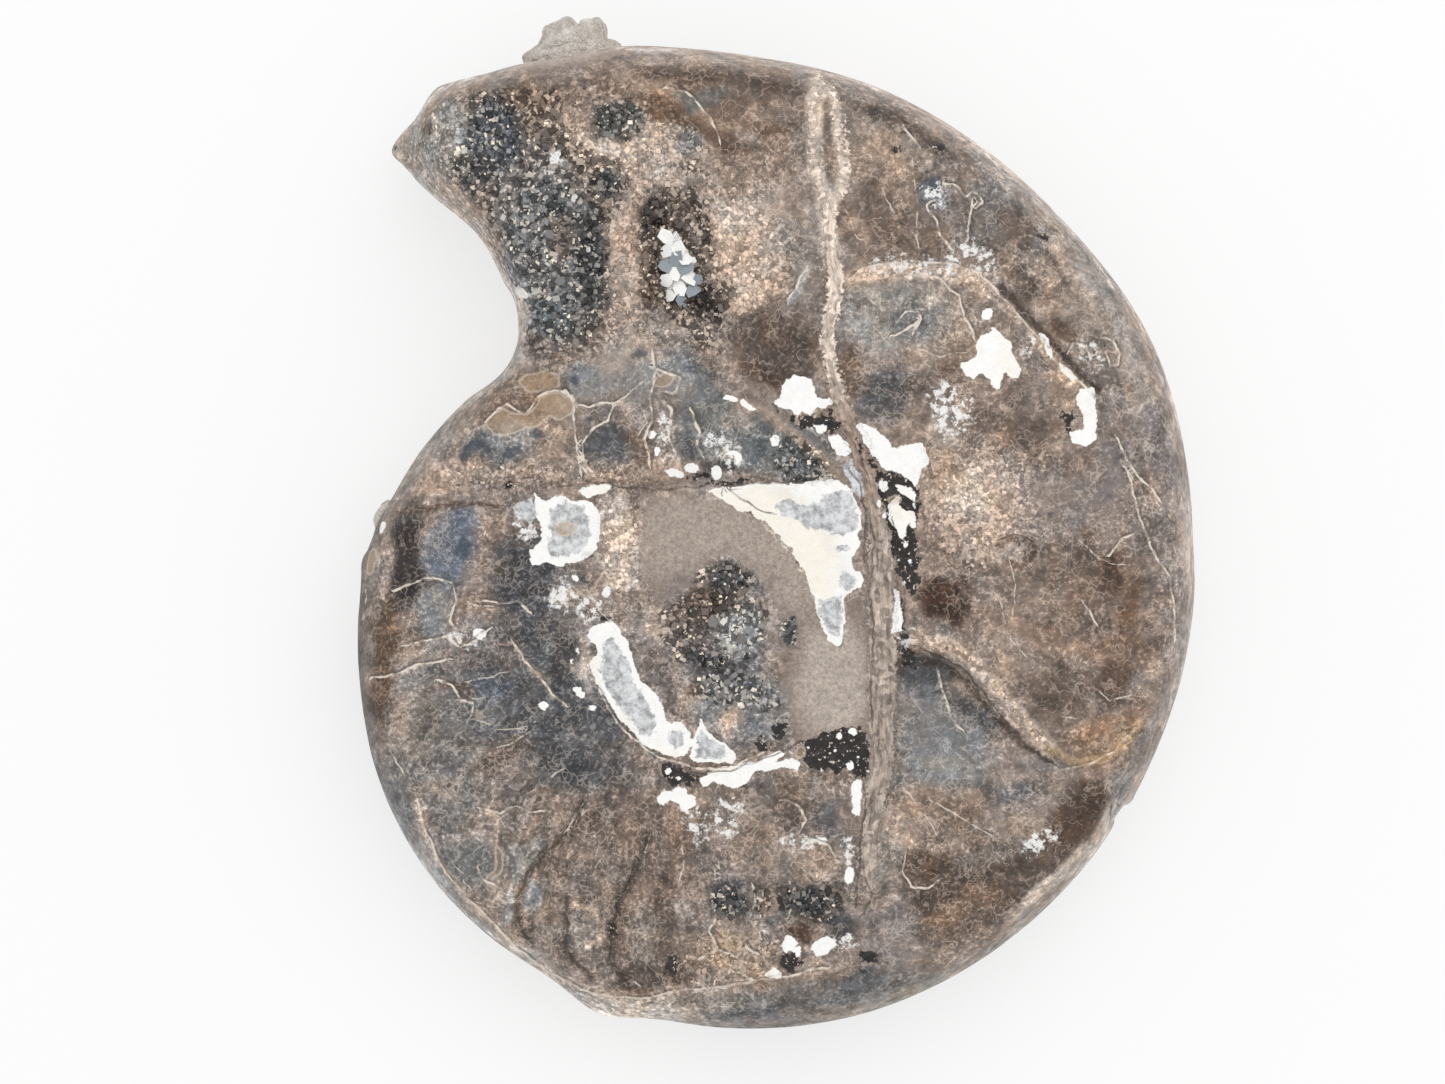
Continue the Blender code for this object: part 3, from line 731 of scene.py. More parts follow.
@dataclass(frozen=True)
class BlackFilling(PatchSet):
    """Black filling, the dark gaps along the white calcite, and some painted shadow beside the vein."""

    layer: ClassVar[Layer] = Layer.BLACK
    column: Outline = (
        874, 464, 884, 470, 904, 477, 920, 486, 919, 506, 916, 525, 918, 570, 917, 593, 912, 596, 903, 584,
        897, 568, 881, 500, 878, 480,
    )
    column_head: Outline = (856, 436, 866, 448, 876, 460, 874, 466, 862, 454)
    tooth_gap: Outline = (766, 402, 778, 410, 796, 419, 812, 417, 830, 412, 840, 426, 830, 432, 800, 428)
    band_right: Outline = (
        797, 748, 812, 738, 844, 728, 860, 728, 868, 738, 868, 778, 860, 778, 847, 772, 815, 771, 804, 766,
    )
    band_left: Outline = (662, 764, 676, 766, 692, 774, 700, 780, 692, 787, 682, 784, 672, 786, 664, 778)
    # Partly a dark crack beside the vein, partly painted shadow in the hollow where the right-hand ledge
    # starts.
    vein_crack_and_shadow: Outline = (896, 588, 902, 604, 906, 628, 916, 656, 914, 668, 904, 664, 899, 646, 898, 612)
    red_base: Outline = (779, 953, 797, 952, 800, 962, 793, 973, 782, 966)
    spots: Spots = (
        (391, 150, 5, 5), (1043, 238, 6, 4), (896, 149, 6, 3, 10), (587, 556, 3, 3), (938, 147, 9, 3, 30),
        (509, 484, 4, 2), (780, 728, 9, 9), (761, 745, 5, 8), (1067, 421, 6, 9), (843, 548, 3, 2),
        (735, 482, 34, 2, -3), (868, 955, 12, 7, 20), (704, 478, 18, 3), (613, 932, 4, 8), (672, 964, 8, 9),
        (604, 620, 5, 4),
    )


@dataclass(frozen=True)
class DarkDruse(PatchSet):
    """Hollows and walls lined with small dark crystals."""

    layer: ClassVar[Layer] = Layer.DRUSE
    mouth: Outline = (
        470, 92, 520, 84, 560, 90, 560, 130, 590, 150, 620, 160, 628, 185, 612, 210, 608, 240, 610, 300,
        600, 330, 585, 345, 545, 352, 528, 344, 524, 305, 505, 270, 490, 235, 484, 200, 456, 180, 452, 155,
        466, 135, 470, 118,
    )
    island: Spots = ((617, 120, 28, 20, 5), (789, 632, 11, 17, -10), (690, 138, 11, 9), (692, 168, 14, 6))
    vug: Outline = (
        640, 222, 652, 195, 668, 188, 690, 188, 703, 205, 712, 225, 715, 260, 722, 275, 735, 290, 728, 310,
        715, 325, 712, 345, 700, 350, 690, 335, 660, 310, 645, 312, 640, 290, 641, 260, 637, 240,
    )
    core: Outline = (
        662, 606, 690, 594, 720, 585, 745, 590, 764, 602, 770, 630, 760, 656, 735, 666, 700, 668, 674, 658,
        660, 636,
    )
    core_top: Outline = (694, 578, 706, 566, 726, 560, 748, 567, 760, 584, 745, 590, 720, 585, 700, 590)
    core_low: Outline = (700, 676, 740, 668, 780, 690, 776, 716, 740, 706, 700, 700, 686, 690)
    base: Spots = ((728, 904, 20, 17), (762, 902, 9, 18, 8), (788, 898, 11, 18), (820, 906, 22, 19, 10))
    whorl: Outline = (778, 440, 800, 434, 822, 452, 834, 476, 808, 484, 784, 478, 774, 462)


@dataclass(frozen=True)
class TanGranules(PatchSet):
    """Tan sugary calcite."""

    layer: ClassVar[Layer] = Layer.GRANULAR
    mouth_top: Outline = (
        520, 78, 560, 74, 600, 76, 640, 90, 698, 124, 708, 150, 716, 182, 745, 186, 764, 214, 790, 225,
        800, 250, 790, 300, 762, 318, 735, 330, 722, 362, 700, 372, 672, 350, 640, 335, 606, 346, 582, 368,
        540, 378, 520, 362, 524, 330, 600, 340, 612, 300, 612, 240, 624, 190, 600, 150, 552, 138, 540, 110,
    )
    mouth_edge: Outline = (
        440, 96, 470, 92, 470, 120, 452, 150, 462, 186, 488, 196, 492, 236, 524, 304, 514, 296, 466, 228,
        414, 178, 404, 152, 420, 120,
    )
    right_sugar: Outline = (
        924, 446, 962, 442, 1050, 450, 1075, 464, 1060, 476, 1034, 478, 1028, 498, 1024, 524, 1002, 528,
        990, 560, 975, 584, 955, 575, 935, 560, 922, 520, 920, 480,
    )
    centre_margin: Outline = (600, 500, 640, 502, 641, 560, 656, 590, 640, 612, 606, 600, 602, 560)
    seam: Outline = (
        410, 480, 440, 468, 480, 458, 560, 462, 620, 458, 660, 474, 660, 484, 600, 482, 530, 488, 450, 488,
    )
    base_net: Outline = (700, 934, 782, 938, 782, 956, 742, 982, 700, 988, 676, 980, 684, 954)
    under_lump: Outline = (
        552, 976, 600, 990, 648, 992, 688, 986, 700, 996, 668, 1018, 640, 1022, 600, 1016, 572, 1004,
    )
    layer_band: Outline = (
        847, 276, 876, 266, 906, 264, 940, 266, 973, 273, 1004, 300, 1026, 326, 1014, 324, 990, 298,
        968, 286, 940, 280, 906, 276, 876, 278, 850, 284,
    )
    ledge: Outline = (
        914, 640, 930, 630, 950, 638, 975, 655, 1000, 684, 1024, 716, 1050, 742, 1050, 752, 1026, 734,
        978, 676, 950, 654, 926, 650,
    )


@dataclass(frozen=True)
class SandyMatrix(PatchSet):
    """Smooth sandy stone that fills the middle of the coil."""

    layer: ClassVar[Layer] = Layer.MATRIX
    middle: Outline = (
        648, 496, 700, 499, 735, 503, 756, 518, 792, 556, 806, 582, 826, 636, 840, 650, 850, 630, 847, 604,
        862, 594, 868, 620, 872, 736, 835, 732, 800, 742, 792, 732, 790, 700, 776, 690, 790, 660, 775, 604,
        755, 571, 727, 554, 700, 568, 690, 586, 662, 604, 645, 588, 640, 540,
    )
    vein_band: Outline = (866, 498, 884, 500, 893, 530, 896, 700, 886, 760, 868, 740, 868, 640, 866, 560)
    whorl_seam: Outline = (
        735, 396, 760, 402, 790, 418, 818, 438, 838, 462, 850, 482, 838, 484, 822, 458, 798, 438, 768, 416,
        740, 404,
    )
    knob_side: Outline = (516, 60, 560, 50, 606, 44, 640, 50, 600, 62, 560, 70, 528, 74)


@dataclass(frozen=True)
class SmoothSlate(PatchSet):
    """Smooth blue-grey filling with little grain."""

    layer: ClassVar[Layer] = Layer.SLATE
    top: Outline = (
        765, 205, 800, 205, 815, 215, 820, 245, 818, 280, 805, 300, 795, 290, 798, 260, 795, 235, 780, 225,
        762, 222,
    )
    whorl: Outline = (565, 366, 600, 344, 640, 334, 672, 342, 702, 366, 716, 396, 640, 400, 570, 400)
    left: Outline = (430, 516, 474, 514, 476, 556, 470, 582, 438, 584, 428, 560)
    left_low: Outline = (424, 586, 446, 584, 448, 640, 428, 642)
    low_right: Outline = (902, 702, 950, 700, 984, 724, 980, 780, 940, 792, 904, 784)
    purple: Outline = (1032, 486, 1080, 478, 1138, 482, 1140, 530, 1100, 542, 1046, 528)
    teal: Outline = (440, 842, 480, 838, 494, 862, 484, 882, 452, 876)


@dataclass(frozen=True)
class OchreStain(PatchSet):
    """Ochre patches with pale edges."""

    layer: ClassVar[Layer] = Layer.OCHRE
    lobe: Outline = (518, 382, 526, 374, 544, 372, 560, 374, 560, 386, 546, 390, 530, 391)
    arch: Outline = (
        487, 424, 492, 414, 504, 408, 512, 414, 526, 414, 538, 404, 540, 396, 556, 392, 572, 398, 573, 412,
        560, 420, 548, 416, 536, 428, 520, 430, 506, 436, 494, 434,
    )
    crescent: Outline = (497, 844, 503, 854, 501, 870, 491, 885, 484, 881, 495, 870, 495, 856)
    spots: Spots = (
        (734, 946, 8, 9), (895, 500, 6, 4), (370, 560, 6, 16), (801, 753, 5, 6), (566, 529, 12, 7),
        (664, 380, 10, 6, -20),
    )


@dataclass(frozen=True)
class NavySpots(PatchSet):
    """Ink blue spots."""

    layer: ClassVar[Layer] = Layer.NAVY
    tongue: Outline = (460, 462, 461, 447, 470, 440, 484, 433, 482, 448, 470, 460)
    blot: Outline = (500, 456, 506, 446, 514, 450, 520, 440, 522, 450, 510, 458)
    dots: Spots = (
        (641, 353, 8, 6), (668, 353, 8, 4, 10), (690, 368, 7, 3, 10), (576, 382, 5, 4), (488, 448, 4, 4),
        (537, 434, 6, 4, -20), (566, 449, 4, 4), (588, 419, 4, 3), (463, 547, 8, 13), (936, 182, 9, 8),
        (1050, 515, 4, 3), (566, 390, 4, 3),
    )


class LineSet:
    """Fine lines of the face. Each field holds lines of one area, in pixels of the photograph."""

    stroke: ClassVar[Stroke]
    reach: ClassVar[float] = 9.0

    def distances(self, pixels: Array) -> tuple[Array, Array]:
        """Distance to the nearest line, signed by its side and unsigned, in millimetres.

        Args:
            pixels: Rows of column and row.

        Returns:
            The signed and the unsigned distance, both cut off at the reach.
        """
        signed = np.full(len(pixels), self.reach)
        for part in fields(self):
            for line in map(corners, getattr(self, part.name)):
                near = near_box(pixels, line, self.reach)
                side, _ = line_field(pixels[near], line)
                signed[near] = np.where(np.abs(side) < np.abs(signed[near]), side, signed[near])
        signed = np.clip(signed, -self.reach, self.reach) * FACE_MM_PER_PX
        return signed, np.abs(signed)


@dataclass(frozen=True)
class CreamLines(LineSet):
    """Cream lines: healed cracks and the edges of shell layers."""

    stroke: ClassVar[Stroke] = Stroke.SEAM
    top: Outlines = (
        (665, 88, 685, 92, 698, 103, 708, 115, 716, 130, 720, 143),
        (944, 181, 941, 190, 945, 198, 934, 201, 926, 206, 937, 222, 941, 236, 952, 250),
        (944, 183, 952, 184, 960, 188, 966, 196, 972, 192, 980, 196, 984, 202, 978, 206),
        (972, 201, 970, 218, 967, 240), (903, 127, 912, 138, 920, 148), (788, 302, 796, 286, 806, 268),
    )
    upper_right: Outlines = (
        (850, 278, 868, 268, 890, 263, 915, 264, 940, 263, 960, 266, 978, 274, 990, 284),
        (936, 276, 959, 296, 963, 311, 974, 338), (895, 322, 905, 312, 918, 312, 922, 320, 914, 332),
        (892, 336, 906, 330, 918, 322), (990, 284, 1004, 298, 1040, 340, 1056, 362, 1074, 376, 1092, 396),
        (1068, 352, 1074, 344, 1086, 346, 1090, 356, 1100, 352),
        (1104, 338, 1112, 340, 1118, 352, 1118, 364, 1112, 366, 1106, 354),
    )
    whorl: Outlines = (
        (566, 390, 574, 400, 574, 425, 576, 450, 582, 474),
        (574, 404, 590, 408, 600, 403, 614, 404, 608, 420, 594, 428, 583, 443, 582, 458, 592, 472),
        (652, 352, 656, 372, 650, 396, 652, 420, 644, 440, 650, 466),
        (652, 368, 668, 374, 680, 378, 676, 394, 662, 392), (614, 404, 628, 396, 640, 384),
        (487, 422, 495, 411, 508, 404, 524, 414, 540, 394, 556, 390, 574, 396, 574, 412),
        (662, 402, 672, 410, 668, 440, 674, 452), (690, 410, 700, 430, 696, 446, 704, 456),
    )
    left: Outlines = (
        (395, 590, 424, 578, 438, 580, 452, 584, 456, 600, 450, 620, 462, 640),
        (448, 636, 460, 648, 478, 640, 490, 628), (404, 646, 430, 640, 460, 634),
        (372, 678, 400, 674, 420, 664, 450, 660), (512, 640, 524, 660, 540, 676, 552, 694, 566, 704),
        (484, 600, 500, 604, 518, 602, 530, 612), (480, 808, 500, 814, 516, 806, 530, 812, 545, 810),
        (438, 680, 452, 686, 460, 700, 474, 704, 470, 716), (392, 752, 398, 764, 404, 772),
    )
    middle: Outlines = (
        (600, 690, 607, 708, 625, 731, 655, 756, 690, 767, 716, 770, 738, 765, 762, 753),
        (478, 868, 484, 880, 500, 888),
    )
    right: Outlines = (
        (1116, 436, 1124, 456, 1136, 474, 1150, 488, 1160, 500),
        (1120, 460, 1130, 480, 1144, 530, 1156, 556, 1168, 576, 1174, 600, 1176, 640),
        (1080, 600, 1090, 612, 1096, 624), (1108, 556, 1122, 540, 1134, 534),
    )
    low: Outlines = (
        (936, 670, 942, 690, 950, 716, 962, 730), (905, 850, 902, 872, 912, 886, 928, 888, 940, 880),
        (1062, 770, 1090, 764, 1114, 752, 1134, 730), (700, 960, 718, 950, 736, 958, 748, 946, 762, 958),
        (744, 958, 740, 972, 752, 980), (712, 900, 716, 916, 708, 930, 716, 946),
        (752, 886, 756, 904, 750, 920, 760, 934), (790, 884, 794, 900, 790, 918),
        (800, 848, 812, 840, 828, 846, 836, 858), (783, 800, 800, 806, 806, 820, 796, 834),
        (418, 800, 424, 830, 446, 874, 516, 948, 555, 977),
        (555, 977, 594, 994, 641, 1000, 690, 990, 740, 984, 826, 968),
    )


@dataclass(frozen=True)
class Hairlines(LineSet):
    """Fine pale scratches and growth lines."""

    stroke: ClassVar[Stroke] = Stroke.HAIRLINE
    scratches: Outlines = (
        (505, 782, 531, 765), (480, 752, 512, 744, 530, 732), (558, 842, 570, 824, 582, 806),
        (597, 865, 604, 852, 612, 838), (643, 864, 650, 832), (682, 850, 684, 868, 679, 884),
        (714, 862, 715, 880), (719, 860, 720, 880), (478, 902, 495, 907, 512, 914),
        (635, 982, 646, 990, 655, 998), (470, 602, 482, 606, 495, 607), (468, 682, 488, 678, 508, 672),
        (455, 700, 480, 700, 500, 694), (560, 844, 584, 812), (490, 770, 500, 764), (470, 718, 492, 724),
        (520, 800, 548, 780, 564, 770), (500, 730, 520, 728, 540, 720),
    )
    threads: Outlines = (
        (880, 185, 890, 205, 896, 220, 905, 236), (912, 160, 917, 200, 917, 240, 921, 256),
        (903, 225, 915, 236, 919, 247), (846, 212, 852, 222, 858, 240, 866, 240),
        (745, 118, 751, 122, 757, 131), (760, 150, 765, 158, 768, 168), (765, 152, 771, 163, 777, 166),
        (862, 156, 868, 152, 872, 158), (458, 868, 464, 874, 462, 882, 470, 888),
        (376, 512, 372, 540, 366, 575, 364, 620), (930, 800, 955, 815, 985, 832, 1010, 848),
        (905, 790, 925, 812, 940, 838), (1010, 560, 1016, 590, 1012, 620),
        (1080, 540, 1100, 560, 1124, 566), (1000, 600, 1010, 640, 1030, 660),
        (1096, 690, 1110, 700, 1130, 696), (1064, 716, 1080, 720), (920, 350, 940, 356, 966, 352),
        (870, 300, 880, 310, 872, 326, 886, 336), (640, 404, 648, 420, 640, 434),
        (580, 600, 596, 604, 606, 618, 614, 630),
    )


@dataclass(frozen=True)
class CracksAndPaintedShade(LineSet):
    """Thin open cracks, and painted shade in the rib grooves and along the foot of the right-hand ledge."""

    stroke: ClassVar[Stroke] = Stroke.CRACK
    middle: Outlines = (
        (560, 487, 600, 482, 626, 488, 664, 490, 700, 486, 760, 484, 830, 478),
        (728, 488, 740, 498, 756, 508, 774, 514), (724, 484, 722, 494),
        (868, 500, 874, 540, 870, 600, 874, 640, 870, 700, 874, 740),
        (893, 520, 900, 560, 905, 600, 903, 640, 908, 660, 915, 668),
        (660, 762, 700, 774, 730, 771, 770, 757, 800, 742), (860, 770, 866, 800, 860, 850, 856, 905),
        (850, 470, 862, 490, 866, 520, 864, 560),
    )
    # Painted shade in the rib grooves, drawn as dark lines.
    ribs: Outlines = (
        (583, 803, 571, 830, 548, 850, 528, 873, 518, 897, 518, 920, 528, 938),
        (649, 834, 634, 873, 618, 905, 610, 936, 612, 963, 630, 987),
        (567, 897, 567, 920, 565, 944, 579, 967, 591, 977),
    )
    # The second and third lines run along the foot of the right-hand ledge: partly a crack, partly painted
    # shadow.
    right: Outlines = (
        (1124, 812, 1117, 803, 1112, 805, 1110, 815, 1112, 832), (896, 640, 930, 652, 962, 668, 984, 694),
        (984, 694, 1004, 720, 1030, 750, 1056, 766), (864, 912, 872, 896, 866, 880),
        (1000, 540, 1014, 534, 1030, 540, 1026, 552), (905, 850, 900, 870, 910, 888),
    )


@dataclass(frozen=True)
class VeinStrands:
    """The healed crack across the face, in pixels of the photograph: lines with their half widths."""

    upper_left: Outline = (
        819, 72, 816, 88, 814, 105, 812, 125, 812, 140, 813, 155, 816, 170, 820, 190, 826, 207,
    )
    upper_right: Outline = (818, 80, 828, 88, 834, 98, 835, 120, 840, 150, 845, 170, 842, 190, 831, 210)
    upper_third: Outline = (844, 118, 847, 140, 849, 165, 845, 190)
    main: Outline = (
        828, 205, 829, 222, 832, 260, 836, 280, 834, 300, 829, 320, 827, 345, 830, 362, 840, 400,
        847, 420, 860, 450, 871, 480, 876, 500, 880, 520, 882, 600, 882, 700, 882, 760, 875, 800,
        870, 850, 870, 885,
    )
    upper_half: Point = (3.4, 4.2)
    third_half: Point = (1.8, 3.2)
    upper_length: float = 130.0
    reach: float = 14.0
    main_half: Outline = (0, 8, 70, 8.5, 150, 6, 220, 10, 300, 12, 480, 15, 560, 13, 690, 7)

    def fields_at(self, pixels: Array) -> tuple[Array, Array, Array]:
        """The vein's depth, the place across it and the place along it, in millimetres.

        Args:
            pixels: Rows of column and row.

        Returns:
            How far inside the vein each pixel lies, then its two coordinates in the main strand's own run.
        """
        side, along = line_field(pixels, corners(self.main))
        stations, halves = corners(self.main_half).T
        depth = np.interp(along, stations, halves) - np.abs(side)
        strands = (
            (self.upper_left, self.upper_half), (self.upper_right, self.upper_half),
            (self.upper_third, self.third_half),
        )
        for line, (first, last) in strands:
            across, reached = line_field(pixels, corners(line))
            half = first + (last - first) * reached / self.upper_length
            depth = np.maximum(depth, half - np.abs(across))
        depth = np.clip(depth, -self.reach, self.reach)
        return depth * FACE_MM_PER_PX, side * FACE_MM_PER_PX, along * FACE_MM_PER_PX


@dataclass(frozen=True)
class Cloud(Spot):
    """A soft patch of colour."""

    strength: float = 0.85

    def reach(self, pixels: Array) -> Array:
        """How far out each pixel lies, 1 at the half sizes."""
        away = turned(pixels - (self.column, self.row), -self.turn)
        return np.linalg.norm(away / (self.half_width, self.half_height), axis=1)

    def extent(self) -> tuple[Array, float]:
        """A point inside, and how far around it the colour goes."""
        return np.array([(self.column, self.row)]), 1.4 * max(self.half_width, self.half_height)


@dataclass(frozen=True)
class Wash:
    """The soft patches of one shade, each with a cloud's own values."""

    shade: Shade
    clouds: Spots


@dataclass(frozen=True)
class Trail:
    """A soft stroke of colour along a line, in pixels of the photograph."""

    shade: Shade
    half: float
    strength: float
    line: Outline

    def reach(self, pixels: Array) -> Array:
        """How far out each pixel lies, 1 at the half width."""
        return np.abs(line_field(pixels, corners(self.line))[0]) / self.half

    def extent(self) -> tuple[Array, float]:
        """The line's corners, and how far around them the colour goes."""
        return corners(self.line), 1.4 * self.half


